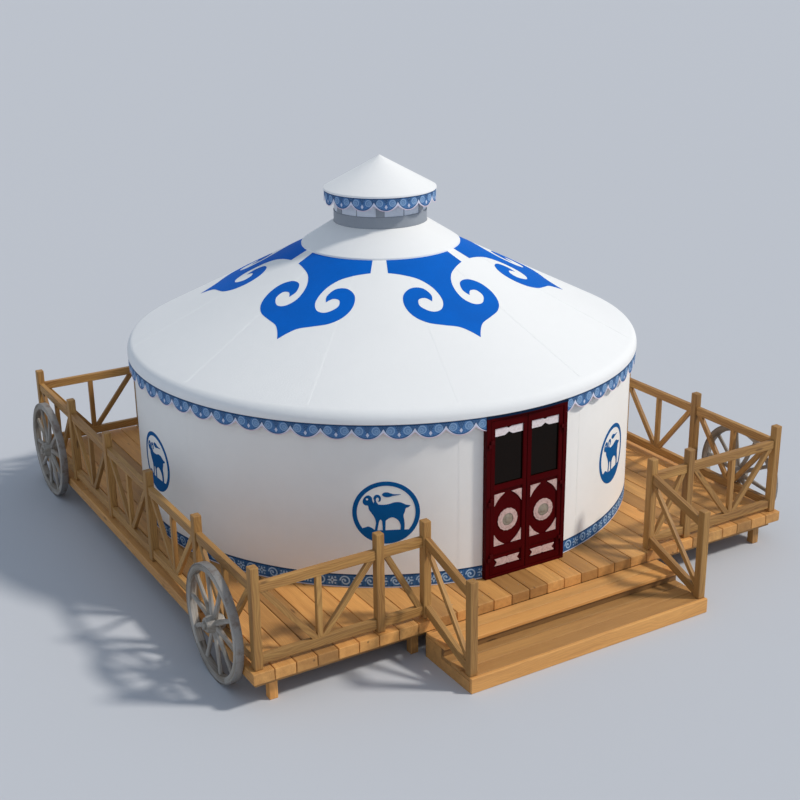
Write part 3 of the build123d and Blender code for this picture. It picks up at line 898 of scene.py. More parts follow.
def finish_tree(nodes, given, points, **turns):
    """Sets a copy on each point, gives it its own tone, makes the copies real and sets their material."""
    piece = nodes.add("GeometryNodeObjectInfo", {"Object": given["Piece"]}, None, "Geometry")
    copies = nodes.add("GeometryNodeInstanceOnPoints", {"Points": points, "Instance": piece, **turns})
    tone = nodes.add(
        "FunctionNodeRandomValue", {2: 0.0, 3: 1.0, "Seed": given["Seed"]}, {"data_type": "FLOAT"}, 1
    )
    toned = nodes.add(
        "GeometryNodeStoreNamedAttribute", {"Geometry": copies, "Name": "tone", "Value": tone},
        {"data_type": "FLOAT", "domain": "INSTANCE"},
    )
    real = nodes.add("GeometryNodeRealizeInstances", {"Geometry": toned})
    painted = nodes.add("GeometryNodeSetMaterial", {"Geometry": real, "Material": given["Finish"]})
    leave = nodes.tree.nodes.new("NodeGroupOutput")
    nodes.plug(leave.inputs[0], painted)
    return nodes.tree


def straight_row():
    """Copies of a piece in a straight row, each sunk by up to an uneven amount."""
    nodes, given = new_tree("Straight row", {
        "Piece": "Object", "Count": "Int", "Start": "Vector", "Step": "Vector", "Sunk": "Float",
        "Seed": "Int", "Finish": "Material",
    })
    row = nodes.add(
        "GeometryNodeMeshLine",
        {"Count": given["Count"], "Start Location": given["Start"], "Offset": given["Step"]},
        {"mode": "OFFSET"},
    )
    uneven = nodes.add("FunctionNodeRandomValue", {2: 0.0, 3: 1.0, "Seed": 5}, {"data_type": "FLOAT"}, 1)
    drop = nodes.joined(0.0, 0.0, uneven * given["Sunk"] * -1)
    settled = nodes.add("GeometryNodeSetPosition", {"Geometry": row, "Offset": drop})
    return finish_tree(nodes, given, settled)


def turned_row():
    """Copies of a piece turned about Z, each one step of angle on from the last."""
    nodes, given = new_tree("Turned row", {
        "Piece": "Object", "Count": "Int", "First": "Float", "Step": "Float", "Seed": "Int",
        "Finish": "Material",
    })
    row = nodes.add(
        "GeometryNodeMeshLine", {"Count": given["Count"], "Offset": (0.0, 0.0, 0.0)}, {"mode": "OFFSET"}
    )
    index = nodes.add("GeometryNodeInputIndex")
    turn = nodes.joined(0.0, 0.0, index * given["Step"] + given["First"])
    return finish_tree(nodes, given, row, Rotation=turn)


def set_on_points():
    """Copies of a piece on a mesh's points, z along the attribute facing and x along the attribute run."""
    nodes, given = new_tree("Set on points", {"Piece": "Object", "Seed": "Int", "Finish": "Material"})
    vector = {"data_type": "FLOAT_VECTOR"}
    facing = nodes.add("GeometryNodeInputNamedAttribute", {"Name": "facing"}, vector)
    run = nodes.add("GeometryNodeInputNamedAttribute", {"Name": "run"}, vector)
    lifted = nodes.add("FunctionNodeAlignRotationToVector", {"Vector": facing}, {"axis": "Z"})
    turned = nodes.add(
        "FunctionNodeAlignRotationToVector", {"Rotation": lifted, "Vector": run},
        {"axis": "X", "pivot_axis": "Z"},
    )
    return finish_tree(nodes, given, given["Geometry"], Rotation=turned)


trees = {}


def grown(make_tree, piece_mesh, finish, host=None, **inputs):
    """Runs a Geometry Nodes tree on a host mesh and returns its result as a plain mesh."""
    if make_tree not in trees:
        trees[make_tree] = make_tree()
    tree = trees[make_tree]
    piece = new_object("pattern", piece_mesh)
    holder = new_object("holder", host or bpy.data.meshes.new("holder"))
    modifier = holder.modifiers.new("Rows", "NODES")
    modifier.node_group = tree
    wanted = {"Piece": piece, "Finish": finish_of(finish), "Seed": 1, **inputs}
    for item in tree.interface.items_tree:
        if item.in_out == "INPUT" and item.name in wanted:
            modifier[item.identifier] = wanted[item.name]
    graph = bpy.context.evaluated_depsgraph_get()
    mesh = bpy.data.meshes.new_from_object(holder.evaluated_get(graph))
    holder.modifiers.remove(modifier)
    for made in (piece, holder):
        bpy.data.objects.remove(made)
    return mesh


def points_mesh(places):
    """A mesh of bare points, each given as (place, facing, run)."""
    mesh = bpy.data.meshes.new("places")
    mesh.from_pydata([place for place, facing, run in places], [], [])
    for name, number in (("facing", 1), ("run", 2)):
        attribute = mesh.attributes.new(name, "FLOAT_VECTOR", "POINT")
        flat = [value for row in places for value in row[number]]
        attribute.data.foreach_set("vector", flat)
    return mesh


def joined_mesh(name, meshes, matrices=None):
    """One mesh from several, each moved by its matrix."""
    shape = bmesh.new()
    for number, mesh in enumerate(meshes):
        copy = mesh.copy()
        if matrices:
            copy.transform(matrices[number])
        shape.from_mesh(copy)
        bpy.data.meshes.remove(copy)
    joined = bpy.data.meshes.new(name)
    shape.to_mesh(joined)
    shape.free()
    return joined


# Deck and stair
board_joint, joint_gap, board_sink = 1.635, 0.003, 0.003
nail_reach, nail_sink = 0.075, 0.0035
bearer_width, leg_width = 0.1, 0.09
nosing, plank_gap = 0.02, 0.005
# Riser tones are painted light: the front riser is made pale as if lit, and the back riser near black as
# painted shade under the upper tread
upper_tread_tones, lower_tread_tones, riser_lit_and_shaded_tones = (0.82, 0.94), (0.1, 0.45), (0.74, 0.04)


def deck_boards():
    """Boards from front to back, each of two lengths that meet off the middle, to either side in turn."""
    made = sizes()
    pitch = 2 * deck_half / made.board_count
    width = pitch - made.board_gap
    meshes = []
    for parity, split in ((0, board_joint), (1, -board_joint)):
        board = Timber(toned=False)
        for front, back in ((-deck_half, split - joint_gap / 2), (split + joint_gap / 2, deck_half)):
            low, high = (-width / 2, front, deck_low.z), (width / 2, back, deck_top)
            board.between(low, high, made.board_edge, along="y")
        start = (-deck_half + pitch * (parity + 0.5), 0.0, 0.0)
        meshes.append(grown(
            straight_row, board.mesh("board"), "deck_wood", Count=made.board_count // 2, Start=start,
            Step=(2 * pitch, 0.0, 0.0), Sunk=board_sink, Seed=11 + parity,
        ))
    add_piece("deck_boards", joined_mesh("deck_boards", meshes), "deck_wood", "deck_wood", "deck_floor")
    places = []
    for number in range(made.board_count):
        x = -deck_half + pitch * (number + 0.5)
        for y in bearer_lines():
            for side in (-1, 1):
                places.append(((x + side * nail_reach, y, deck_top - nail_sink), (0, 0, 1), (1, 0, 0)))
    nails = grown(set_on_points, nail_head(made.nail_radius), "iron", host=points_mesh(places))
    add_piece("deck_nails", nails, "iron", "hinge_metal")


def nail_head(radius):
    """A low domed head that stands on its own place."""
    dome = [(0.0, -0.003), (radius, -0.003), (radius, 0.001), (radius * 0.7, 0.0028), (0.0, 0.0036)]
    return to_mesh("nail", lathe(dome, steps=8), 50)


def bearer_lines():
    half = (bearer_high.y - bearer_low.y - bearer_width) / 2
    return [-half + half * number / 2 for number in range(5)]


def deck_frame():
    """The bearers under the boards, and the rows of legs under them."""
    edge = sizes().timber_edge
    bearers = Timber(21)
    for y in bearer_lines():
        front, back = y - bearer_width / 2, y + bearer_width / 2
        bearers.between((bearer_low.x, front, bearer_low.z), (bearer_high.x, back, bearer_high.z), edge)
    add_piece("bearers", bearers, "deck_wood", "deck_wood", "deck_bearers")
    legs = Timber(22)
    reach_x = leg_high.x - leg_width / 2
    reach_y = leg_high.y - leg_width / 2
    for column in range(5):
        for row in range(5):
            x = -reach_x + reach_x * column / 2
            y = -reach_y + reach_y * row / 2
            legs.upright(x, y, leg_width, leg_low.z, leg_high.z, edge)
    add_piece("legs", legs, "deck_wood", "deck_wood", "deck_legs")


def stair():
    """Two treads of planks, with their risers and side boards. The risers' tones are painted light: the
    front riser pale as if sunlit, the back one near black as painted shade.
    """
    made = sizes()
    half = tread_high.x
    thickness = tread_high.z - riser_high.z
    board = tread_low.y - riser_low.y
    lower_top = tread_low.z + thickness
    riser_back = riser_high.y
    riser_front = riser_back - board
    steps = (
        (riser_front - nosing, tread_high.y, tread_high.z, 2, upper_tread_tones),
        (tread_low.y, riser_back, lower_top, 3, lower_tread_tones),
    )
    treads = Timber(31)
    for front, back, top, planks, tones in steps:
        wide = (back - front + plank_gap) / planks
        for number in range(planks):
            start = front + number * wide
            treads.between(
                (-half, start, top - thickness), (half, start + wide - plank_gap, top), made.board_edge,
                tone=treads.random.uniform(*tones),
            )
    add_piece("treads", treads, "stair_wood", "deck_wood", "stair_treads")
    risers = Timber(32)
    lit_front_tone, shaded_back_tone = riser_lit_and_shaded_tones
    risers.between(
        (-half, riser_low.y, riser_low.z), (half, tread_low.y, lower_top), made.board_edge, tone=lit_front_tone
    )
    risers.between(
        (-half, riser_front, lower_top), (half, riser_back, riser_high.z), made.timber_edge, tone=shaded_back_tone
    )
    add_piece("risers", risers, "riser_wood", "deck_wood", "stair_risers")
    strings = Timber(33)
    low = lower_top - thickness
    section = [
        (tread_low.y, 0.0), (string_high.y, 0.0), (string_high.y, string_high.z),
        (riser_back, string_high.z), (riser_back, low), (tread_low.y, low),
    ]
    for side in (-1, 1):
        faces = sorted((side * half, side * (half - board)))
        strings.swept([at(x, 0, 0) for x in faces], section)
    add_piece("stair_sides", strings, "stair_wood", "deck_wood", "stair_strings")


# Railing
rail_height = 0.10
baluster_width, baluster_depth = 0.060, 0.050
brace_width, brace_depth = 0.062, 0.044
brace_seat = 0.02
slim_edge = 0.7
stair_brace_width = brace_width * 1.25
hand_rail_drops, foot_rail_rises = (0.17, 0.09), (0.15, 0.11)


def posts():
    """The deck's posts, and the two at the foot of the stair."""
    front = (post_lines[1], -newel_line, newel_line, post_lines[-2])
    rows = {
        "posts_left": [(-post_line, y) for y in post_lines],
        "posts_right": [(post_line, y) for y in post_lines],
        "posts_back": [(x, post_line) for x in post_lines[1:-1]],
        "posts_front": [(x, -post_line) for x in front],
        "posts_stair": [(x, stair_post_line) for x in (-newel_line, newel_line)],
    }
    for number, (node, places) in enumerate(rows.items()):
        low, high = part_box(node)
        timber = Timber(41 + number)
        for x, y in places:
            timber.upright(x, y, post_size, low.z, high.z, sizes().post_edge)
        add_piece(f"railing_{node}", timber, "rail_wood", "rail_wood", node)


def rail_bay(timber, centre, along, reach, braces):
    """One bay: two rails, and braces from foot points out to the top rail. Sides count along the bay."""
    centre = Vector(centre)
    along = Vector(along)
    outward = along.cross(Vector((0, 0, 1)))
    edge = sizes().timber_edge
    depth = rail_high.x - rail_low.x
    for height in (rail_high.z - rail_height / 2, rail_low.z + rail_height / 2):
        middle = centre + Vector((0, 0, height))
        timber.bar(middle - along * reach, middle + along * reach, depth, rail_height, outward, edge)
    under = rail_high.z - rail_height
    over = rail_low.z + rail_height
    for foot, head in braces:
        start = centre + along * foot + Vector((0, 0, over - brace_seat))
        end = centre + along * head + Vector((0, 0, under + brace_seat))
        timber.bar(start, end, brace_depth, brace_width, outward, edge * slim_edge)
    return over, under


def full_bay(timber, centre, along):
    """A bay with a baluster in its middle and a brace to either side."""
    reach = (bay - post_size) / 2
    foot = baluster_width / 2
    head = reach - brace_width / 2
    over, under = rail_bay(timber, centre, along, reach, ((foot, head), (-foot, -head)))
    x, y, ground = centre
    outward = Vector(along).cross(Vector((0, 0, 1)))
    timber.bar(
        (x, y, ground + over), (x, y, ground + under), baluster_depth, baluster_width, outward,
        sizes().timber_edge * slim_edge,
    )


def railings():
    """Full bays between the posts, and half bays from the front posts to the stair."""
    centres = [y + bay / 2 for y in post_lines[:-1]]
    rows = {
        "railing_left": ([(-post_line, y, 0) for y in centres], (0, 1, 0)),
        "railing_right": ([(post_line, y, 0) for y in centres], (0, 1, 0)),
        "railing_back": ([(x, post_line, 0) for x in centres], (1, 0, 0)),
        "railing_front": ([(x, -post_line, 0) for x in (centres[0], centres[-1])], (1, 0, 0)),
    }
    for number, (node, (places, along)) in enumerate(rows.items()):
        timber = Timber(51 + number)
        for place in places:
            full_bay(timber, place, along)
        if node == "railing_front":
            near = post_lines[-2] - post_size / 2
            far = newel_line + post_size / 2
            reach = (near - far) / 2
            inset = reach - brace_width / 2
            for side in (-1, 1):
                middle = (side * (near + far) / 2, -post_line, 0)
                rail_bay(timber, middle, (side, 0, 0), reach, ((-inset, inset),))
        add_piece(f"bays_{node}", timber, "rail_wood", "rail_wood", node)


def stair_rails():
    """Sloping rails with upright ends, and one brace at each side of the stair."""
    low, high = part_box("railing_stair")
    edge = sizes().timber_edge
    half = rail_height / 2
    hand_start = front_post_high.z - hand_rail_drops[0]
    hand_end = stair_post_high.z - hand_rail_drops[1]
    foot_start = deck_top + foot_rail_rises[0]
    foot_end = stair_post_low.z + foot_rail_rises[1]
    depth = 2 * (high.x - newel_line)
    inset = brace_width * 0.3
    under = hand_start - rail_height
    members = (
        (hand_end - half, hand_start - half, rail_height, depth, edge),
        (foot_end - half, foot_start - half, rail_height, depth, edge),
        (foot_end + inset, under - inset, stair_brace_width, brace_depth, edge * slim_edge),
    )
    timber = Timber(61)
    for side in (-1, 1):
        x = side * newel_line
        for front, back, wide, deep, rounding in members:
            timber.bar((x, low.y, front), (x, high.y, back), wide, deep, (0, 0, 1), rounding, up=(1, 0, 0))
    add_piece("stair_rails", timber, "rail_wood", "rail_wood", "railing_stair")


# Wheels
rim_width, rim_depth = 0.08, 0.08
felloe_gap, felloe_edge = 0.12, 0.008
spoke_width, spoke_depth, spoke_edge = 0.060, 0.046, 0.012
spoke_taper = ((0.0, 1.0), (0.12, 1.0), (0.3, 0.86), (0.75, 0.74), (0.92, 0.8), (1.0, 0.8))
nave_half, nave_middle, nave_end, nave_bore = 0.095, 0.095, 0.070, 0.028
nave_band_edges = (0.012, 0.032)
nave_tone, spoke_foot, spoke_lap = 0.35, 0.7, 0.01
wheel_spins = (8, -5)
axle_radius, axle_head, axle_head_length = 0.028, 0.042, 0.03


def wheels():
    """Four cart wheels: felloes, tapered spokes and a turned nave, with iron tyres and bands."""
    made = sizes()
    outer = wheel_radius - made.tyre
    inner = wheel_radius - rim_depth
    middle = (outer + inner) / 2
    felloe = Timber(toned=False)
    reach = 180 / made.felloe_count - felloe_gap
    steps = 12
    frames = []
    for number in range(steps + 1):
        bearing = -reach + 2 * reach * number / steps
        frames.append(rotation(bearing, "Z") @ at(0, -middle, 0))
    felloe.swept(frames, rounded(outer - inner, rim_width, felloe_edge))
    spoke = Timber(toned=False)
    foot, head = nave_middle * spoke_foot, inner + spoke_lap
    turn = rotation(-90, "Z")
    frames = []
    for share, wide in spoke_taper:
        place = at(0, -(foot + (head - foot) * share), 0)
        frames.append(place @ turn @ Matrix.Diagonal((1, wide, wide, 1)))
    spoke.swept(frames, rounded(spoke_width, spoke_depth, spoke_edge))
    arc_step = 2 * pi / made.felloe_count
    spoke_step = 2 * pi / made.spoke_count
    arcs = grown(
        turned_row, felloe.mesh("felloe"), "wheel_wood", Count=made.felloe_count, First=spoke_step / 2,
        Step=arc_step, Seed=4,
    )
    spokes = grown(
        turned_row, spoke.mesh("spoke"), "wheel_wood", Count=made.spoke_count, First=0.0, Step=spoke_step,
        Seed=9,
    )
    heights = [nave_half * (-1 + number / 5) for number in range(11)]
    swell = [(nave_middle - (nave_middle - nave_end) * (z / nave_half) ** 2, z) for z in heights]
    nave = lathe([(nave_bore, -nave_half), *swell, (nave_bore, nave_half)], steps=32)
    grain = nave.verts.layers.float_vector.new("grain")
    tone = nave.verts.layers.float.new("tone")
    for vert in nave.verts:
        vert[grain] = (vert.co.z, vert.co.x, vert.co.y)
        vert[tone] = nave_tone
    wooden = [arcs, spokes, to_mesh("nave", nave, 40)]
    irons = bmesh.new()
    half, tread, shoulder = rim_width / 2, rim_width / 2 - 0.003, wheel_radius - 0.001
    tyre = [
        (outer - 0.001, -half), (shoulder, -half), (wheel_radius, -tread), (wheel_radius, tread),
        (shoulder, half), (outer - 0.001, half),
    ]
    lathe(tyre, steps=96, shape=irons)
    for side in (-1, 1):
        band = sorted(side * (nave_half - inset) for inset in nave_band_edges)
        lathe(slab(nave_end - 0.004, nave_end + 0.008, *band), steps=32, shape=irons)
    iron_mesh = to_mesh("irons", irons, 40)
    turn = rotation(90, "Y")
    for hand in ("left", "right"):
        low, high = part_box(f"wheels_{hand}")
        x = (low.x + high.x) / 2
        places = [
            at(x, y, wheel_radius) @ rotation(spin, "X") @ turn
            for y, spin in zip((-wheel_line, wheel_line), wheel_spins)
        ]
        joined = joined_mesh(f"wheels_{hand}", wooden * 2, [place for place in places for mesh in wooden])
        add_piece(f"cart_wheels_{hand}", joined, "wheel_wood", "wheel_wood", f"wheels_{hand}")
        tyres = joined_mesh(f"tyres_{hand}", [iron_mesh] * 2, places)
        add_piece(f"wheel_irons_{hand}", tyres, "iron", "wheel_iron")


def axles():
    """Stub axles with a round head."""
    timber = Timber(71)
    inner = post_line + baluster_depth / 2
    outer = axle_high.x - axle_head_length
    marks = (
        (inner, axle_radius), (outer, axle_radius), (outer, axle_head),
        (outer + axle_head_length * 0.7, axle_head), (outer + axle_head_length, axle_head * 0.8),
    )
    for side in (-1, 1):
        for y in (-wheel_line, wheel_line):
            frames = [
                at(side * x, y, wheel_radius) @ Matrix.Diagonal((1, radius, radius, 1))
                for x, radius in marks
            ]
            timber.swept(frames, circle(1.0, 20))
    add_piece("axles", timber, "wheel_wood", "wheel_wood", "wheel_axles", smooth_to=40)


# Wall and band
wall_thickness = 0.08
cover_lip = 0.006
band_repeat, band_proud, band_lift, band_door_turn = 0.27, 0.0015, 0.002, 0.02
wall_seam_count, wall_seam_skin, wall_seam_turn, wall_seam_lap = 12, 0.0008, 15, 0.03
stitch_rows = (-0.3, 0.3)


def wall():
    """The felt and canvas wall, cut at the doorway, with its strip over the door."""
    inner = wall_radius - wall_thickness
    outline = [
        (inner, wall_base), (wall_radius - cover_lip, wall_base), (wall_radius, wall_base + cover_lip),
        *line((wall_radius, wall_base + 0.2), (wall_radius, wall_top), 6), (wall_radius, wall_top),
        (inner, wall_top), *line((inner, wall_top - 0.3), (inner, wall_base), 4),
    ]
    shape = lathe(outline, steps=320, cut=door_half)
    lathe(slab(inner, wall_radius, jamb_high.z, wall_top), -door_reach, door_reach, 18, shape=shape)
    add_piece("wall_cover", shape, "wall_canvas", "wall_cover", *wall_nodes, "wall_over_door", smooth_to=30)


def wall_seams():
    """Upright sewn seams, each a flat strip with two rows of stitches."""
    made = sizes()
    wide = degrees(made.seam_width / wall_radius)
    shape = bmesh.new()
    places = []
    low = wall_base + made.band_height
    high = roof_low.z + wall_seam_lap
    count = int((high - low) / made.stitch_pitch)
    for number in range(wall_seam_count):
        bearing = wall_seam_turn + 360 * number / wall_seam_count
        strip = slab(wall_radius - wall_seam_skin, wall_radius + wall_seam_skin, low, high)
        lathe(strip, bearing - wide / 2, bearing + wide / 2, 3, shape=shape)
        for side in stitch_rows:
            turn = bearing + side * wide
            facing = around(turn, 1, 0)
            for stitch in range(count):
                height = low + (stitch + 0.5) * made.stitch_pitch
                places.append((around(turn, wall_radius + wall_seam_skin, height), facing, (0, 0, 1)))
    add_piece("wall_seams", shape, "wall_canvas", "wall_cover")
    threads = grown(set_on_points, stitch_mesh(), "wall_canvas", host=points_mesh(places))
    add_piece("wall_stitches", threads, "wall_canvas", "wall_cover")


def stitch_mesh():
    """One thread's stitch, a low ridge along x."""
    shape = bmesh.new()
    sections = ((-0.007, 0.2), (-0.004, 1.0), (0.004, 1.0), (0.007, 0.2))
    rows = []
    for x, size in sections:
        ridge = ((-0.0011, -0.0004), (0.0011, -0.0004), (0.0006, 0.0008), (-0.0006, 0.0008))
        rows.append([shape.verts.new((x, y * size, z * size)) for y, z in ridge])
    for here, there in zip(rows, rows[1:]):
        for side in range(4):
            after = (side + 1) % 4
            shape.faces.new((here[side], here[after], there[after], there[side]))
    shape.faces.new(reversed(rows[0]))
    shape.faces.new(rows[-1])
    bmesh.ops.recalc_face_normals(shape, faces=shape.faces[:])
    return to_mesh("stitch", shape)


def sheet_of(columns, sewing):
    """A sheet through marked columns of points, from the bottom up. sewing(mark, height) gives its UVs."""
    shape = bmesh.new()
    sewn = shape.loops.layers.uv.verify()
    columns = [(mark, [shape.verts.new(point) for point in column]) for mark, column in columns]
    for (mark, here), (next_mark, there) in zip(columns, columns[1:]):
        for row in range(len(here) - 1):
            face = shape.faces.new((here[row], there[row], there[row + 1], here[row + 1]))
            for loop, across in zip(face.loops, (mark, next_mark, next_mark, mark)):
                loop[sewn].uv = sewing(across, loop.vert.co.z)
    return shape


def strip_of_cloth(radius, low, high, first, last, across, sewing, wave=0.0):
    """A bent strip of cloth with its UV map. low(bearing) gives the height of its lower edge."""
    rows_up = 6
    columns = []
    for step in range(across + 1):
        bearing = first + (last - first) * step / across
        bottom = low(bearing)
        column = []
        for row in range(rows_up + 1):
            share = row / rows_up
            height = bottom + (high - bottom) * share
            ripple = wave * (1 - share) * sin(radians(bearing) * 45)
            column.append(around(bearing, radius + ripple, height))
        columns.append((bearing, column))
    return sheet_of(columns, sewing)


def base_band():
    """The printed band round the foot of the wall, from one side of the door to the other."""
    made = sizes()
    radius = wall_radius + band_proud
    door = door_reach + band_door_turn
    around_length = radians(360 - 2 * door) * radius
    repeats = round(around_length / band_repeat)
    low = wall_base + band_lift

    def sewing(bearing, height):
        return (bearing - door) / (360 - 2 * door) * repeats, height - low

    shape = strip_of_cloth(
        radius, lambda bearing: low, low + made.band_height, door, 360 - door, 320, sewing
    )
    finishes["band_print"] = band_print("band_print", around_length / repeats, made.band_height)
    piece = add_piece("base_band", shape, "band_print", "valance_cloth", smooth_to=60)


# Roof
roof_hole = 0.52
roof_pitch = radians(26.5)
shoulder_radius = 0.128
roof_thickness = 0.06
roof_seam_skin, roof_seam_tuck, roof_seam_foot = 0.0009, 0.02, 0.01
skirt_clear = 0.002
shoulder_centre = (roof_high.x - shoulder_radius, wall_top)
shoulder_end = (
    shoulder_centre[0] + shoulder_radius * sin(roof_pitch),
    shoulder_centre[1] + shoulder_radius * cos(roof_pitch),
)


def roof_height(radius):
    """The height of the roof's outer face over the straight part of its slope."""
    return shoulder_end[1] + (shoulder_end[0] - radius) * tan(roof_pitch)


def roof():
    """The roof's felt and canvas in one, with its rolled shoulder and its skirt over the wall."""
    inner_wall = wall_radius - wall_thickness
    drop = roof_thickness / cos(roof_pitch)
    skirt = roof_low.z
    skirt_inner = wall_radius + skirt_clear
    hole_top = roof_height(roof_hole)
    outline = [
        (roof_hole, hole_top - drop), (roof_hole, hole_top),
        *line((0.7, roof_height(0.7)), shoulder_end, 14),
        *arc(shoulder_centre, shoulder_radius, 90 - degrees(roof_pitch), 0, 12),
        (roof_high.x, skirt + cover_lip), (roof_high.x - cover_lip, skirt), (skirt_inner, skirt),
        (skirt_inner, wall_top), (inner_wall, wall_top),
        *line((inner_wall, roof_height(inner_wall) - drop), (roof_hole, hole_top - drop), 6),
    ]
    shape = lathe(outline, steps=360)
    add_piece("roof_cover", shape, "roof_canvas", "roof_cover", *roof_nodes, smooth_to=30)


def seam_strip(top, foot, height_at, slope, width, steps):
    """One sewn seam down a slope, from its top radius to its foot."""
    strip = Timber(toned=False)
    turn = Matrix.Rotation(-slope, 4, "X") @ rotation(-90, "Z")
    frames = []
    for number in range(steps + 1):
        radius = top + (foot - top) * number / steps
        frames.append(at(0, -radius, height_at(radius)) @ turn)
    strip.swept(frames, rounded(width, 2 * roof_seam_skin, roof_seam_skin * 0.6))
    return strip.mesh("seam")


def roof_seams():
    """Sewn seams down the slope, and their stitches."""
    made = sizes()
    top, foot = collar_high.x - roof_seam_tuck, shoulder_end[0] - roof_seam_foot
    strip = seam_strip(top, foot, roof_height, roof_pitch, made.seam_width, 10)
    step = 2 * pi / made.seam_count
    seams = grown(turned_row, strip, "roof_canvas", Count=made.seam_count, First=step / 2, Step=step)
    add_piece("roof_seams", seams, "roof_canvas", "roof_cover")
    places = []
    run_length = (foot - top) / cos(roof_pitch)
    count = int(run_length / made.stitch_pitch)
    for number in range(made.seam_count):
        bearing = degrees(step) * (number + 0.5)
        out = around(bearing, 1, 0)
        sideways = around(bearing + 90, 1, 0)
        facing = out * sin(roof_pitch) + Vector((0, 0, cos(roof_pitch)))
        run = out * cos(roof_pitch) - Vector((0, 0, sin(roof_pitch)))
        for side in stitch_rows:
            for stitch in range(count):
                radius = top + (foot - top) * (stitch + 0.5) / count
                place = out * radius + Vector((0, 0, roof_height(radius)))
                place += sideways * side * made.seam_width + facing * roof_seam_skin
                places.append((place, facing, run))
    threads = grown(set_on_points, stitch_mesh(), "roof_canvas", host=points_mesh(places))
    add_piece("roof_stitches", threads, "roof_canvas", "roof_cover")


# Valances
valance_inset, lappet_clear = 0.003, 0.002
# Sizes of the strip over the door, a near-black sheet that is painted shade for the gap under the eave
shade_strip_drop, shade_strip_inset, shade_strip_proud, shade_strip_lap = 0.030, 0.005, 0.0035, 0.0015


def valance(name, lappets, first_cusp, top, tip, valley, radius, cut, node):
    """A hung strip with round lappets along its lower edge."""
    pitch = 2 * pi * radius / lappets
    drop = top - tip
    swell = lappet_swell(pitch, drop, valley)
    step = 360 / lappets
    door = degrees(asin(cut / radius)) if cut else 0.0
    last = 360 - door

    def low(bearing):
        away = (((bearing - first_cusp) / step) % 1.0 - 0.5) * pitch
        return tip + swell - sqrt(swell**2 - away**2)

    def sewing(bearing, height):
        return (bearing - first_cusp) / step + lappets, top - height

    shape = strip_of_cloth(radius, low, top, door, last, lappets * 16, sewing, wave=0.0015)
    if not cut:
        bmesh.ops.remove_doubles(shape, verts=shape.verts[:], dist=1e-6)
    finish = f"{name}_print"
    finishes[finish] = lappet_print(finish, pitch, drop, valley)
    piece = add_piece(name, shape, finish, "valance_cloth", node, smooth_to=60)


def valances():
    """The eave's valance with a near-black strip over the door as painted shade, and the cap's, which tucks
    up behind the cap's rim.
    """
    made = sizes()
    valance(
        "eave_lappets", made.eave_lappets, 0.0, eave_high.z, eave_low.z, made.eave_valley,
        eave_high.x - valance_inset, door_half + lappet_clear, "eave_valance",
    )
    door_hem(eave_high.z)
    valance(
        "cap_lappets", made.cap_lappets, 180 / made.cap_lappets, fringe_high.z, fringe_low.z,
        made.cap_valley + fringe_high.z - cap_low.z, fringe_high.x - valance_inset, None, "crown_valance",
    )


def door_hem(top):
    """A near-black cloth strip over the door, painted shade for the gap under the eave, bent round the
    corners of the door's head.
    """
    radius = eave_high.x - shade_strip_inset
    flat = -jamb_low.y + shade_strip_proud
    half = door_half + shade_strip_lap
    steps, rows = 48, 4
    columns = []
    way = 0.0
    for step in range(steps + 1):
        x = -half + 2 * half * step / steps
        y = -max(flat, sqrt(radius**2 - x**2))
        if columns:
            before = columns[-1][1][0]
            way += hypot(x - before.x, y - before.y)
        columns.append((way, [Vector((x, y, top - shade_strip_drop * row / rows)) for row in range(rows, -1, -1)]))
    shape = sheet_of(columns, lambda across, height: (across, height))
    piece = add_piece("door_hem", shape, "hem_cloth", "valance_cloth", smooth_to=60)


# Ornaments and medallions
medallion_line = 0.135
medallion_turn = 30.3
ornament_turn = -1.0
ornament_lift = 0.0006
band_end = 25.3
arm_knots = (
    (0.487, 1.177), (0.345, 1.275), (0.205, 1.405), (0.122, 1.590), (0.122, 1.795), (0.208, 1.920),
    (0.325, 1.922), (0.408, 1.805), (0.375, 1.702), (0.292, 1.700), (0.242, 1.772),
)
hook_knots = (
    (0.242, 1.772), (0.203, 1.675), (0.246, 1.545), (0.370, 1.503), (0.500, 1.578), (0.565, 1.740),
    (0.548, 1.920), (0.452, 2.066), (0.300, 2.158), (0.150, 2.235), (0.062, 2.335), (0.0, 2.440),
)


def ornament_sheet():
    """One ornament, flat: x across and y down the slope from where the roof's slopes would meet."""
    unroll = cos(roof_pitch)
    band_top = (collar_high.x - 0.01) / unroll
    corner = radians(band_end) * unroll
    shares = [number / 12 for number in range(13)]
    rim = [(band_top * sin(corner * share), band_top * cos(corner * share)) for share in shares]
    half = without_repeats(rim + outline_of(arm_knots, hook_knots), None, 1e-4)
    other = [(-x, y) for x, y in reversed(half[1:-1])]
    return cut_sheet([half + other], sizes().cloth)


def bisected(shape, planes):
    """Cuts a sheet along planes, so that it can bend."""
    for point, normal in planes:
        bmesh.ops.bisect_plane(
            shape, geom=shape.verts[:] + shape.edges[:] + shape.faces[:], plane_co=point, plane_no=normal,
            dist=1e-6,
        )


def set_round(flat, turn, place):
    """Copies of a flat sheet round the yurt, bent to their places by place(x, y, lift, centre)."""
    pattern = bpy.data.meshes.new("pattern")
    flat.to_mesh(pattern)
    flat.free()
    whole = bmesh.new()
    for number in range(parts_round):
        before = len(whole.verts)
        whole.from_mesh(pattern)
        whole.verts.ensure_lookup_table()
        for vert in whole.verts[before:]:
            vert.co = place(*vert.co, turn + part_turn * number)
    bmesh.ops.recalc_face_normals(whole, faces=whole.faces[:])
    return whole


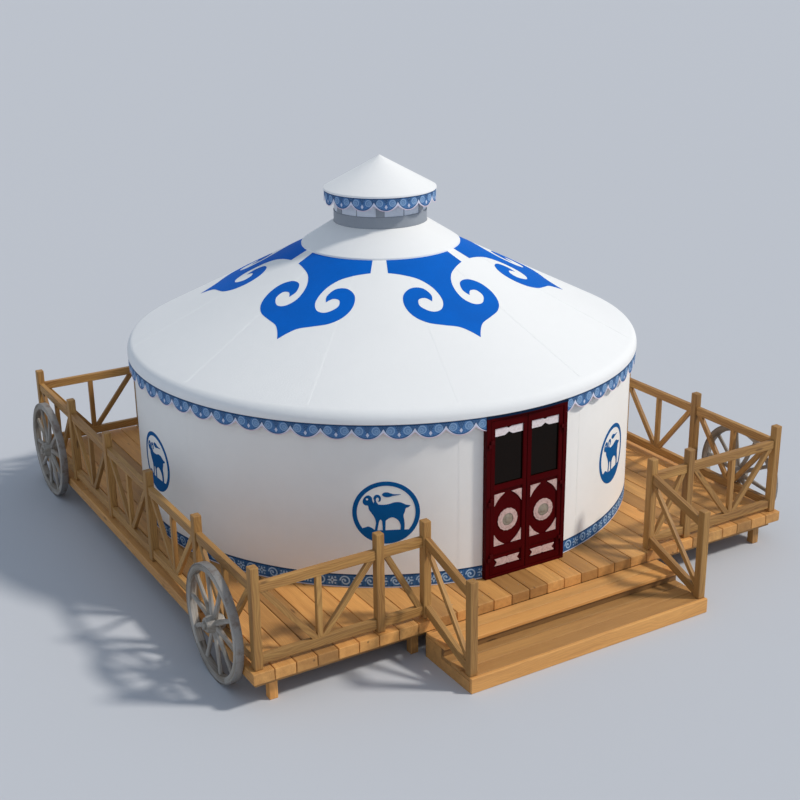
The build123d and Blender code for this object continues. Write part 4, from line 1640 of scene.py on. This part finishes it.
def roof_ornaments():
    """Six ornaments on the slope, hung from the collar's edge."""
    unroll = cos(roof_pitch)
    flat = ornament_sheet()
    sew_flat(flat)
    angles = [radians(angle) for angle in range(-24, 25, 2)]
    bisected(flat, [((0, 0, 0), (cos(angle), -sin(angle), 0)) for angle in angles])

    def place(x, y, lift, centre):
        radius = hypot(x, y) * unroll
        lift += ornament_lift
        bearing = degrees(atan2(x, y)) / unroll + centre
        return around(bearing, radius + lift * sin(roof_pitch), roof_height(radius) + lift * cos(roof_pitch))

    whole = set_round(flat, ornament_turn, place)
    add_piece("roof_ornaments", whole, "ornament_cloth", "valance_cloth", smooth_to=20)


# The goat and its ground are drawn in shares of the medallion's radius, x to the right and y up
goat_head = (
    (-0.54, 0.24), (-0.62, 0.25), (-0.68, 0.32), (-0.67, 0.43), (-0.60, 0.53), (-0.50, 0.56), (-0.42, 0.50),
    (-0.40, 0.40), (-0.37, 0.31),
)
goat_horn = (
    (-0.37, 0.31), (-0.345, 0.38), (-0.365, 0.47), (-0.33, 0.555), (-0.25, 0.585), (-0.175, 0.545),
    (-0.145, 0.46), (-0.17, 0.375), (-0.235, 0.36),
)
goat_horn_inside = (
    (-0.235, 0.36), (-0.205, 0.42), (-0.225, 0.485), (-0.275, 0.485), (-0.295, 0.42), (-0.275, 0.34),
    (-0.22, 0.27),
)
goat_eye = (-0.555, 0.435)
goat_back = (
    (-0.22, 0.27), (-0.08, 0.26), (0.08, 0.28), (0.24, 0.33), (0.40, 0.33), (0.52, 0.28), (0.60, 0.24),
    (0.72, 0.22),
)
goat_rump = (
    (0.72, 0.22), (0.66, 0.16), (0.58, 0.13), (0.55, 0.02), (0.51, -0.10), (0.53, -0.25), (0.54, -0.40),
    (0.53, -0.58),
)
goat_hind_leg = (
    (0.41, -0.58), (0.42, -0.42), (0.37, -0.28), (0.28, -0.19), (0.17, -0.15), (0.06, -0.19), (-0.02, -0.26),
)
goat_near_leg = ((-0.02, -0.26), (-0.025, -0.42), (-0.03, -0.58))
goat_between = (
    (-0.11, -0.58), (-0.115, -0.40), (-0.13, -0.26), (-0.17, -0.22), (-0.21, -0.27), (-0.24, -0.42),
    (-0.27, -0.58),
)
goat_chest = (
    (-0.35, -0.58), (-0.32, -0.42), (-0.31, -0.28), (-0.36, -0.12), (-0.45, 0.02), (-0.51, 0.12),
    (-0.52, 0.19), (-0.54, 0.24),
)
ground_line = (
    (-0.72, -0.50), (-0.63, -0.47), (-0.53, -0.44), (-0.42, -0.49), (-0.33, -0.555), (-0.15, -0.565),
    (0.10, -0.56), (0.35, -0.555), (0.67, -0.56),
)
cloud_outline = (
    (-0.12, 0.585), (-0.06, 0.645), (0.04, 0.655), (0.13, 0.625), (0.22, 0.595), (0.34, 0.585),
    (0.44, 0.575), (0.34, 0.555), (0.20, 0.535), (0.10, 0.505), (0.0, 0.505), (-0.08, 0.535), (-0.12, 0.585),
)


def medallion_sheets():
    """The ring with its ground, the goat and the cloud, flat and in metres."""
    radius = sizes().medallion_radius
    cloth = sizes().cloth
    hole = 1 - medallion_line
    first = atan2(ground_line[-1][1], ground_line[-1][0])
    last = atan2(ground_line[0][1], ground_line[0][0]) + 2 * pi
    turns = [first + (last - first) * number / 72 for number in range(73)]
    window = [(hole * cos(turn), hole * sin(turn)) for turn in turns] + smoothed(ground_line)
    goat = outline_of(
        goat_head, goat_horn, goat_horn_inside, goat_back, goat_rump, goat_hind_leg, goat_near_leg,
        goat_between, goat_chest,
    )
    eye = [(goat_eye[0] + x, goat_eye[1] + y) for x, y in circle(0.034, 16)]
    sheets = (
        ([circle(1.0, 96), window], cloth),
        ([goat, eye], cloth * 0.8),
        ([outline_of(cloud_outline)], cloth),
    )
    return [
        cut_sheet([[(x * radius, y * radius) for x, y in outline] for outline in outlines], thick)
        for outlines, thick in sheets
    ]


def medallions():
    """Six medallions round the wall, clear of the door."""
    made = sizes()
    flat = joined_shape(medallion_sheets())
    sew_flat(flat)
    reach = made.medallion_radius
    cuts = 16
    bisected(flat, [((reach * (2 * number / cuts - 1), 0, 0), (1, 0, 0)) for number in range(1, cuts)])

    def place(x, y, lift, centre):
        bearing = centre + degrees(x / wall_radius)
        return around(bearing, wall_radius + ornament_lift + lift, made.medallion_height + y)

    whole = set_round(flat, medallion_turn, place)
    add_piece("wall_medallions", whole, "medallion_cloth", "valance_cloth", smooth_to=20)


# Crown
collar_edge, collar_thickness, collar_clear, collar_lip = 0.025, 0.03, 0.002, 0.008
kerb_bore, kerb_width, kerb_bead, kerb_clear = 0.46, 0.026, 0.006, 0.0003
head_width, head_side, head_top = 0.04, 0.045, 0.06
drum_post_width, drum_post_depth, drum_post_set, drum_post_edge = 0.10, 0.026, 0.0025, 0.003
drum_glass, pane_joint = 0.010, 0.003
sash_width, sash_depth, sash_set, sash_edge = 0.012, 0.016, 0.004, 0.002
drum_post_tone, sash_tone = 0.5, 0.4
cap_thickness, cap_seam_width = 0.022, 0.016


def crown():
    """The cone-shaped collar, the kerb in the roof's hole and the head ring under the cap."""
    rim = collar_high.x
    top = collar_high.z
    inner = ring_high.x + collar_clear
    lip = collar_lip
    under = top - collar_thickness
    edge_top = roof_height(rim) + collar_edge
    slope = (top - edge_top) / (rim - inner)
    meet = (under + inner * slope - roof_height(0)) / (slope - tan(roof_pitch))
    outline = [
        (meet, roof_height(meet)), (rim, roof_height(rim)), (rim, edge_top - lip),
        (rim - lip * 0.3, edge_top - lip * 0.3), (rim - lip, edge_top - lip * 0.2 + lip * slope * 0.5),
        *line((rim - 0.04, edge_top + 0.04 * slope), (inner, top), 5), (inner, top), (inner, under),
    ]
    add_piece("collar", lathe(outline, steps=240), "roof_canvas", "roof_cover", "crown_collar", smooth_to=30)
    hole = roof_hole - kerb_clear
    hole_top = roof_height(roof_hole)
    flange = ring_high.x
    bottom, kerb_top = ring_low.z, ring_high.z
    ring = [
        (kerb_bore, bottom), (hole, bottom), (hole, hole_top), (flange - 0.002, hole_top),
        (flange - 0.002, kerb_top - 0.016), (flange, kerb_top - 0.014), (flange, kerb_top - kerb_bead / 2),
        (flange - kerb_bead / 2, kerb_top), (flange - kerb_width, kerb_top), (flange - kerb_width, top),
        (kerb_bore, top),
    ]
    add_piece("kerb", lathe(ring, steps=180), "crown_frame", "crown_frame", "crown_ring", smooth_to=30)
    outer = head_high.x
    head = [
        (outer - head_width, head_low.z), (outer, head_low.z), (outer, cap_low.z + head_side),
        (outer - head_width, cap_low.z + head_top),
    ]
    add_piece("head_ring", lathe(head, steps=180), "crown_frame", "crown_frame", "crown_head", smooth_to=30)


def stood_round(timber, bearing, radius, levels, depth, width, edge, tone):
    """An upright member at a bearing, with its depth inwards."""
    low, high = levels
    place = rotation(bearing, "Z") @ at(0, -radius, (low + high) / 2)
    timber.block((high - low, depth, width), place @ rotation(-90, "Y"), edge, tone)


def drum():
    """Six flat posts, and between them clouded panes in two halves with a bar behind their joint."""
    posts_made = Timber(81)
    for number in range(parts_round):
        radius = ring_high.x - drum_post_depth / 2 - drum_post_set
        stood_round(
            posts_made, (number + 0.5) * part_turn, radius, (drum_post_low.z, drum_post_high.z),
            drum_post_depth, drum_post_width, drum_post_edge, drum_post_tone,
        )
    add_piece("drum_posts", posts_made, "crown_frame", "crown_frame", "crown_posts")
    glass_outer = pane_high.x
    glass_inner = glass_outer - drum_glass
    half = degrees(asin(drum_post_width / 2 / glass_outer))
    joint = degrees(pane_joint / glass_outer)
    section = slab(glass_inner, glass_outer, pane_low.z, pane_high.z)
    shape = bmesh.new()
    for number in range(parts_round):
        start, stop = (number + 0.5) * part_turn + half, (number + 1.5) * part_turn - half
        middle = (start + stop) / 2
        lathe(section, start, middle - joint / 2, 12, shape=shape)
        lathe(section, middle + joint / 2, stop, 12, shape=shape)
    add_piece("drum_panes", shape, "crown_glass", "crown_glass", "crown_panes", smooth_to=30)
    bars = Timber(82)
    for number in range(parts_round):
        stood_round(
            bars, number * part_turn, glass_inner + sash_set, (pane_low.z, pane_high.z), sash_depth,
            sash_width, sash_edge, sash_tone,
        )
    add_piece("pane_bars", bars, "crown_frame", "crown_frame")


def cap():
    """The crown's conical cover with a rolled rim and six sewn seams."""
    rim, peak = cap_high.x, cap_high.z
    rim_z = cap_low.z + cap_thickness
    rise = peak - rim_z
    slope = rise / rim
    lip = 0.007
    outline = [
        (rim, rim_z - lip), (rim - lip * 0.3, rim_z + lip * 0.1 * slope),
        *line((rim - 0.03, rim_z + 0.03 * slope), (0.03, peak - 0.03 * slope), 6),
        (0.03, peak - 0.03 * slope), (0.014, peak - 0.010 * slope), (0.0, peak - 0.0005),
        (0.0, peak - cap_thickness), *line((0.02, peak - cap_thickness - 0.02 * slope), (rim, cap_low.z), 4),
        (rim - 0.004, cap_low.z), (rim, cap_low.z + 0.004),
    ]
    add_piece("cap_cover", lathe(outline, steps=144), "roof_canvas", "roof_cover", "crown_cap", smooth_to=30)
    strip = seam_strip(
        0.03, rim - 0.02, lambda radius: rim_z + (rim - radius) * slope, atan2(rise, rim), cap_seam_width, 6
    )
    seams = grown(turned_row, strip, "roof_canvas", Count=parts_round, First=0.0, Step=radians(part_turn))
    add_piece("cap_seams", seams, "roof_canvas", "roof_cover")


# Door
transom_height = 0.098
square_height, low_height = 0.660, 0.172
moulding, moulding_depth, moulding_set = 0.009, 0.010, 0.006
leaf_depth, leaf_clear, leaf_bevel = 0.045, 0.005, 0.0036
joiner_edge, panel_edge, pane_edge, rail_lap = 0.003, 0.002, 0.001, 0.001
disc_drop, corner_drop, bar_drop = 0.036, 0.016, 0.018
carving_thickness, transom_clear = 0.008, 0.0002
corner_insets = (0.009, 0.031)
jamb_opening = lintel_high.x
hinge_heights = (0.25, 0.90, 1.55)
knuckle_radius, knuckle_bore, knuckle_length, knuckle_clear = 0.008, 0.0043, 0.0398, 0.00015
flap_width, flap_depth, flap_edge = 0.0275, 0.016, 0.0015
flap_clear, flap_proud, flap_middle = 0.0055, 0.005, 0.02


def door_frame():
    """The jambs, the lintel and the threshold."""
    jambs = Timber(91)
    for side in (-1, 1):
        x0, x1 = sorted((side * jamb_high.x, side * lintel_high.x))
        jambs.between((x0, jamb_low.y, jamb_low.z), (x1, jamb_high.y, jamb_high.z), joiner_edge, along="z")
    add_piece("jambs", jambs, "lacquer", "door_paint", "door_jambs")
    lintel = Timber(92)
    lintel.between(lintel_low, lintel_high, joiner_edge)
    add_piece("lintel", lintel, "lacquer", "door_paint", "door_head")
    threshold = Timber(93)
    threshold.between(sill_low, sill_high, joiner_edge)
    add_piece("threshold", threshold, "lacquer", "door_paint", "door_sill")


def leaf_fields(glass_low, glass_high, panel_low, panel_high):
    """The three openings in a leaf as (left, right, bottom, top), from the pane down."""
    levels = (
        (glass_low.z, glass_high.z), (panel_high.z - square_height, panel_high.z),
        (panel_low.z, panel_low.z + low_height),
    )
    return [(panel_low.x, panel_high.x, bottom, top) for bottom, top in levels]


def leaf(hand):
    """One door leaf: stiles, rails, mouldings, panes, panels and their carvings."""
    body = f"door_{hand}"
    side = -1 if hand == "left" else 1
    low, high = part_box(f"door_{hand}_frame")
    glass_low, glass_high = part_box(f"door_{hand}_glass")
    panel_low, panel_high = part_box(f"door_{hand}_panels")
    fields = leaf_fields(glass_low, glass_high, panel_low, panel_high)
    middle = (glass_low.y + glass_high.y) / 2
    front = middle - leaf_depth / 2
    back = middle + leaf_depth / 2
    meet_front = side * min(abs(low.x), abs(high.x))
    meet_back = meet_front + side * leaf_bevel
    hang = side * (jamb_opening - leaf_clear)
    inner, outer = sorted(fields[0][:2], key=abs)
    cut = joiner_edge
    timber = Timber(101 if side < 0 else 102)
    turn = rotation(-90, "Y")
    upright = [at(0, 0, height) @ turn for height in (low.z, high.z)]
    meeting_stile = [
        (inner, front), (meet_front + side * cut, front), (meet_front, front + cut), (meet_back, back),
        (inner, back),
    ]
    hanging_stile = [
        (outer, front), (hang - side * cut, front), (hang, front + cut), (hang, back), (outer, back),
    ]
    for plan in (meeting_stile, hanging_stile):
        timber.swept(upright, [(y, -x) for x, y in plan])
    x0, x1 = sorted((inner, outer))
    levels = [(fields[0][3], high.z)]
    levels += [(lower[3], upper[2]) for upper, lower in zip(fields, fields[1:])]
    levels += [(low.z, fields[2][2])]
    for bottom, top in levels:
        timber.between((x0 - rail_lap, front, bottom), (x1 + rail_lap, back, top), panel_edge)
    bead_y, half = front + moulding_set, moulding / 2
    for left, right, bottom, top in fields:
        for x in (left + half, right - half):
            start, end = (x, bead_y, bottom), (x, bead_y, top)
            timber.bar(start, end, moulding, moulding_depth, (1, 0, 0), joiner_edge)
        for z in (bottom + half, top - half):
            start, end = (left, bead_y, z), (right, bead_y, z)
            timber.bar(start, end, moulding, moulding_depth, (0, 0, 1), joiner_edge)
    add_piece(f"leaf_{hand}", timber, "lacquer", "door_paint", body=body)
    panels = Timber(103)
    for left, right, bottom, top in fields[1:]:
        panels.between((left, panel_low.y, bottom), (right, panel_high.y, top), panel_edge, along="z")
    add_piece(f"panels_{hand}", panels, "lacquer", "door_paint", f"door_{hand}_panels", body=body)
    panes = Timber(104)
    left, right, bottom, top = fields[0]
    panes.between((left, glass_low.y, bottom), (right, glass_high.y, top), pane_edge, along="z")
    add_piece(f"panes_{hand}", panes, "door_glass", "door_glass", f"door_{hand}_glass", body=body)
    carvings(hand, body, fields, panel_low.y, glass_low.y)


def standing(shape, x, y, z):
    """Stands a flat sheet up, facing the front, with its back at y."""
    matrix = at(x, y, z) @ rotation(90, "X")
    bmesh.ops.transform(shape, matrix=matrix, verts=shape.verts[:])
    return shape


def scalloped(radius, depth, petals, points=160):
    """A circle whose rim has petals."""
    ring = []
    for number in range(points):
        angle = 2 * pi * number / points
        reach = radius - depth * abs(sin(petals * angle / 2))
        ring.append((reach * cos(angle), reach * sin(angle)))
    return ring


def carvings(hand, body, fields, panel_front, glass_front):
    """The pale cut-outs on a leaf: a strip over the pane, a round with four corners, and a low bar."""
    left, right, bottom, top = fields[0]
    x, z = (left + right) / 2, top - transom_height / 2
    wide, tall = (right - left) / 2, transom_height / 2
    notch, depth = 0.050, 0.030
    bow = whole_outline([(-wide, -tall), (-notch, -tall), (0, -tall + depth), (notch, -tall), (wide, -tall)])
    strip = standing(cut_sheet([bow], carving_thickness), x, glass_front - transom_clear, z)
    add_piece(f"transom_{hand}", strip, "transom", "door_paint", body=body)
    left, right, bottom, top = fields[1]
    x, z = (left + right) / 2, (bottom + top) / 2
    disc, core, petals = 0.128, 0.070, 16
    pale = []
    for share, dip, thickness in ((1.0, 0.004, 0.009), (0.82, 0.007, 0.012)):
        rings = [scalloped(disc * share, dip, petals), circle(core, 64)]
        pale.append(standing(cut_sheet(rings, thickness), x, panel_front, z - disc_drop))
    wide, tall = (right - left) / 2 - corner_insets[0], (top - bottom) / 2 - corner_insets[1]
    leg_x, leg_z = 0.134, 0.138
    bow_in = 0.43
    for way_x in (-1, 1):
        for way_z in (-1, 1):
            corner_x, corner_z = way_x * wide, way_z * tall
            hollow = smoothed([
                (corner_x - way_x * leg_x, corner_z),
                (corner_x - way_x * leg_x * bow_in, corner_z - way_z * leg_z * bow_in),
                (corner_x, corner_z - way_z * leg_z),
            ])
            corner = cut_sheet([[(corner_x, corner_z), *hollow]], carving_thickness)
            pale.append(standing(corner, x, panel_front, z - corner_drop))
    dome = [
        (0.0, 0.0), (core - 0.002, 0.0), (core - 0.002, 0.006), (core - 0.010, 0.010), (core * 0.62, 0.008),
        (core * 0.55, 0.011), (core * 0.25, 0.013), (0.0, 0.014),
    ]
    boss = standing(lathe(dome, steps=48), x, panel_front, z - disc_drop)
    add_piece(f"boss_{hand}", boss, "rosette", "door_paint", body=body, smooth_to=35)
    left, right, bottom, top = fields[2]
    z = (bottom + top) / 2
    wide, tall, tail = 0.162, 0.041, 0.032
    notch, nick = 0.02, 0.008
    fish = whole_outline([
        (-wide, -tall), (-notch, -tall), (0, -tall + nick), (notch, -tall), (wide, -tall), (wide - tail, 0),
    ])
    pale.append(standing(cut_sheet([fish], carving_thickness), x, panel_front, z - bar_drop))
    add_piece(f"carvings_{hand}", joined_shape(pale), "carving", "door_paint", body=body)


def hinges():
    """The leaves' knuckles and flaps. The frame's own hinge halves keep their shape and get their finish."""
    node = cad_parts["jamb_hinges"]
    node.data.materials.clear()
    node.data.materials.append(finish_of("hinge_metal"))
    flap_size = (flap_width, flap_depth, knuckle_length)
    for hand, side in (("left", -1), ("right", 1)):
        hinge_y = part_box(f"door_{hand}_frame")[0].y + knuckle_radius
        parts = []
        for height in hinge_heights:
            base = deck_top + height
            knuckle = lathe(slab(knuckle_bore, knuckle_radius, 0.0, knuckle_length), steps=24)
            place = (side * jamb_opening, hinge_y, base + knuckle_clear)
            bmesh.ops.translate(knuckle, verts=knuckle.verts[:], vec=place)
            flap = bmesh.new()
            place = (
                side * (jamb_opening - flap_clear - flap_width / 2), hinge_y + flap_depth / 2 - flap_proud,
                base + flap_middle,
            )
            matrix = Matrix.Translation(place) @ Matrix.Diagonal((*flap_size, 1))
            bmesh.ops.create_cube(flap, size=1, matrix=matrix)
            bmesh.ops.bevel(
                flap, geom=flap.edges[:], offset=flap_edge, segments=2, profile=0.5, affect="EDGES"
            )
            parts += [knuckle, flap]
        add_piece(
            f"leaf_hinges_{hand}", joined_shape(parts), "hinge_metal", "hinge_metal", f"door_{hand}_frame",
            body=f"door_{hand}", smooth_to=40,
        )


# Indoors
lattice_lean = 29.0
lattice_foot, lattice_head, lattice_door_turn = 0.015, 0.02, 1.5
lattice_layers = ((1, 0.012), (-1, 0.026))
lath_width, lath_thickness, lath_edge = 0.032, 0.012, 0.003
pole_clear, pole_lap = 0.024, 0.01
pole_radii = ((0.0, 0.018), (0.15, 0.021), (0.7, 0.020), (1.0, 0.016))


def lattice():
    """The wall's lattice of crossed bars, and the roof's poles up to the crown."""
    made = sizes()
    low, high = wall_base + lattice_foot, wall_top - lattice_head
    rise = high - low
    door = door_reach + lattice_door_turn
    inner = wall_radius - wall_thickness
    meshes = []
    for way, depth in lattice_layers:
        radius = inner - depth
        bar = Timber(toned=False)
        frames = []
        steps = 10
        for number in range(steps + 1):
            share = number / steps
            bearing = lattice_lean * share
            height = low + rise * share if way > 0 else high - rise * share
            out = around(bearing, 1, 0)
            tangent = around(bearing + 90, 1, 0)
            run = (tangent * radians(lattice_lean) * radius + Vector((0, 0, rise * way))).normalized()
            matrix = Matrix((run, out.cross(run), out)).transposed().to_4x4()
            matrix.translation = around(bearing, radius, height)
            frames.append(matrix)
        bar.swept(frames, rounded(lath_width, lath_thickness, lath_edge))
        step = radians((360 - 2 * door - lattice_lean) / (made.lattice_bars - 1))
        meshes.append(grown(
            turned_row, bar.mesh("bar"), "lattice_wood", Count=made.lattice_bars, First=radians(door),
            Step=step, Seed=3,
        ))
    add_piece("lattice", joined_mesh("lattice", meshes), "lattice_wood", "rail_wood")
    under = roof_thickness / cos(roof_pitch) + pole_clear
    pole = Timber(toned=False)
    start, end = inner - pole_lap, roof_hole + pole_lap
    turn = Matrix.Rotation(-roof_pitch, 4, "X") @ rotation(90, "Z")
    frames = []
    for share, thick in pole_radii:
        radius = start + (end - start) * share
        place = at(0, -radius, roof_height(radius) - under)
        frames.append(place @ turn @ Matrix.Diagonal((1, thick, thick, 1)))
    pole.swept(frames, circle(1.0, 10))
    step = 2 * pi / made.pole_count
    poles = grown(
        turned_row, pole.mesh("pole", 50), "lattice_wood", Count=made.pole_count, First=step / 2, Step=step,
        Seed=6,
    )
    add_piece("roof_poles", poles, "lattice_wood", "rail_wood")


# Stage
camera_place = (-7.679, -13.364, 7.026)
camera_azimuth, camera_elevation, camera_roll = -30.65, 19.99, -0.69
camera_focal = 59.34
camera_sensor = 36.0
sky_overhead, sky_at_horizon = 0.5, 0.8
sun_strength, sun_width = 2.35, 7.0
sun_bearing, sun_elevation = 54.0, 45.0
floor_reach = 600.0


def stage():
    """A plain floor and backdrop, soft light from the sky, one sun lamp and the camera."""
    scene = bpy.context.scene
    scene.view_settings.view_transform = "Standard"
    corners = [(x * floor_reach, y * floor_reach, 0) for x, y in ((-1, -1), (1, -1), (1, 1), (-1, 1))]
    floor = bpy.data.meshes.new("floor")
    floor.from_pydata(corners, [], [(0, 1, 2, 3)])
    floor.materials.append(Finish("floor").surface(Base_Color=srgb(196, 199, 205), Roughness=0.9))
    new_object("floor", floor)

    world = bpy.data.worlds.new("studio")
    world.use_nodes = True
    scene.world = world
    nodes = Nodes(world.node_tree)
    rays = world.node_tree.nodes.new("ShaderNodeLightPath")
    seen, mirrored_rays, through = [
        Socket(nodes, rays.outputs[f"Is {kind} Ray"]) for kind in ("Camera", "Glossy", "Transmission")
    ]
    shows = (seen + mirrored_rays + through).least(1.0)
    background = world.node_tree.nodes["Background"]
    light, backdrop = srgb(214, 229, 248), srgb(190, 196, 207)
    nodes.plug(background.inputs["Color"], nodes.mix(light, backdrop, shows))
    direction = nodes.add("ShaderNodeTexCoord", output="Generated")
    horizon = (1 - nodes.parts(direction)[2].most(0.0)) ** 3.0
    strength = horizon * (sky_at_horizon - sky_overhead) + sky_overhead
    nodes.plug(background.inputs["Strength"], strength * (1 - shows) + shows)

    sun = bpy.data.lights.new("sun", "SUN")
    sun.energy = sun_strength
    sun.angle = radians(sun_width)
    sun.color = (1.0, 0.95, 0.875)
    lamp = new_object("sun", sun)
    towards = -around(sun_bearing, cos(radians(sun_elevation)), sin(radians(sun_elevation)))
    lamp.rotation_mode = "QUATERNION"
    lamp.rotation_quaternion = towards.to_track_quat("-Z", "Y")

    camera = bpy.data.cameras.new("camera")
    camera.sensor_width = camera_sensor
    camera.lens = camera_focal
    holder = new_object("camera", camera)
    aim = rotation(camera_azimuth, "Z") @ rotation(90 - camera_elevation, "X") @ rotation(camera_roll, "Z")
    holder.matrix_world = at(*camera_place) @ aim
    scene.camera = holder


# Operators
class YURT_OT_deck(Operator):
    """Lays the deck's boards, bearers, legs and stair."""

    bl_idname = "yurt.deck"
    bl_label = "Deck and stair"

    def execute(self, context):
        deck_boards()
        deck_frame()
        stair()
        return {"FINISHED"}


class YURT_OT_railing(Operator):
    """Puts up the posts, the braced bays and the stair's sloping rails."""

    bl_idname = "yurt.railing"
    bl_label = "Railing"

    def execute(self, context):
        posts()
        railings()
        stair_rails()
        return {"FINISHED"}


class YURT_OT_wheels(Operator):
    """Sets the four cart wheels and their stub axles."""

    bl_idname = "yurt.wheels"
    bl_label = "Cart wheels"

    def execute(self, context):
        wheels()
        axles()
        return {"FINISHED"}


class YURT_OT_indoors(Operator):
    """Ties up the lattice and the roof poles."""

    bl_idname = "yurt.indoors"
    bl_label = "Lattice and poles"

    def execute(self, context):
        lattice()
        return {"FINISHED"}


class YURT_OT_wall(Operator):
    """Covers the wall, with its seams and the printed band at its foot."""

    bl_idname = "yurt.wall"
    bl_label = "Wall"

    def execute(self, context):
        wall()
        wall_seams()
        base_band()
        return {"FINISHED"}


class YURT_OT_roof(Operator):
    """Covers the roof, with its seams."""

    bl_idname = "yurt.roof"
    bl_label = "Roof"

    def execute(self, context):
        roof()
        roof_seams()
        return {"FINISHED"}


class YURT_OT_crown(Operator):
    """Sets the collar, the glazed drum and the cap."""

    bl_idname = "yurt.crown"
    bl_label = "Crown"

    def execute(self, context):
        crown()
        drum()
        cap()
        return {"FINISHED"}


class YURT_OT_valances(Operator):
    """Hangs the two printed valances."""

    bl_idname = "yurt.valances"
    bl_label = "Valances"

    def execute(self, context):
        valances()
        return {"FINISHED"}


class YURT_OT_ornaments(Operator):
    """Sews the ornaments on the roof and the medallions on the wall."""

    bl_idname = "yurt.ornaments"
    bl_label = "Ornaments"

    def execute(self, context):
        roof_ornaments()
        medallions()
        return {"FINISHED"}


class YURT_OT_door(Operator):
    """Fits the door's frame, its two leaves and their hinges."""

    bl_idname = "yurt.door"
    bl_label = "Door"

    def execute(self, context):
        door_frame()
        for hand in ("left", "right"):
            leaf(hand)
        hinges()
        return {"FINISHED"}


class YURT_OT_stage(Operator):
    """Sets the floor, the light and the camera."""

    bl_idname = "yurt.stage"
    bl_label = "Stage"

    def execute(self, context):
        stage()
        return {"FINISHED"}


class YURT_PT_panel(Panel):
    """Lists the yurt's sizes, colours and building steps."""

    bl_idname = "YURT_PT_panel"
    bl_label = "Yurt"
    bl_space_type = "VIEW_3D"
    bl_region_type = "UI"
    bl_category = "Yurt"

    def draw(self, context):
        layout = self.layout
        for operator in operators:
            layout.operator(operator.bl_idname)
        for group in (context.scene.yurt_sizes, context.scene.yurt_colours):
            for name in group.__annotations__:
                layout.prop(group, name)


operators = (
    YURT_OT_deck, YURT_OT_railing, YURT_OT_wheels, YURT_OT_indoors, YURT_OT_wall, YURT_OT_roof,
    YURT_OT_crown, YURT_OT_valances, YURT_OT_ornaments, YURT_OT_door, YURT_OT_stage,
)
classes = (YurtSizes, YurtColours, *operators, YURT_PT_panel)


def register():
    for kind in classes:
        bpy.utils.register_class(kind)
    bpy.types.Scene.yurt_sizes = PointerProperty(type=YurtSizes)
    bpy.types.Scene.yurt_colours = PointerProperty(type=YurtColours)


def unregister():
    del bpy.types.Scene.yurt_colours
    del bpy.types.Scene.yurt_sizes
    for kind in reversed(classes):
        bpy.utils.unregister_class(kind)


def main():
    register()
    for operator in operators:
        getattr(bpy.ops.yurt, operator.bl_idname.split(".")[1])()


if __name__ == "__main__":
    main()
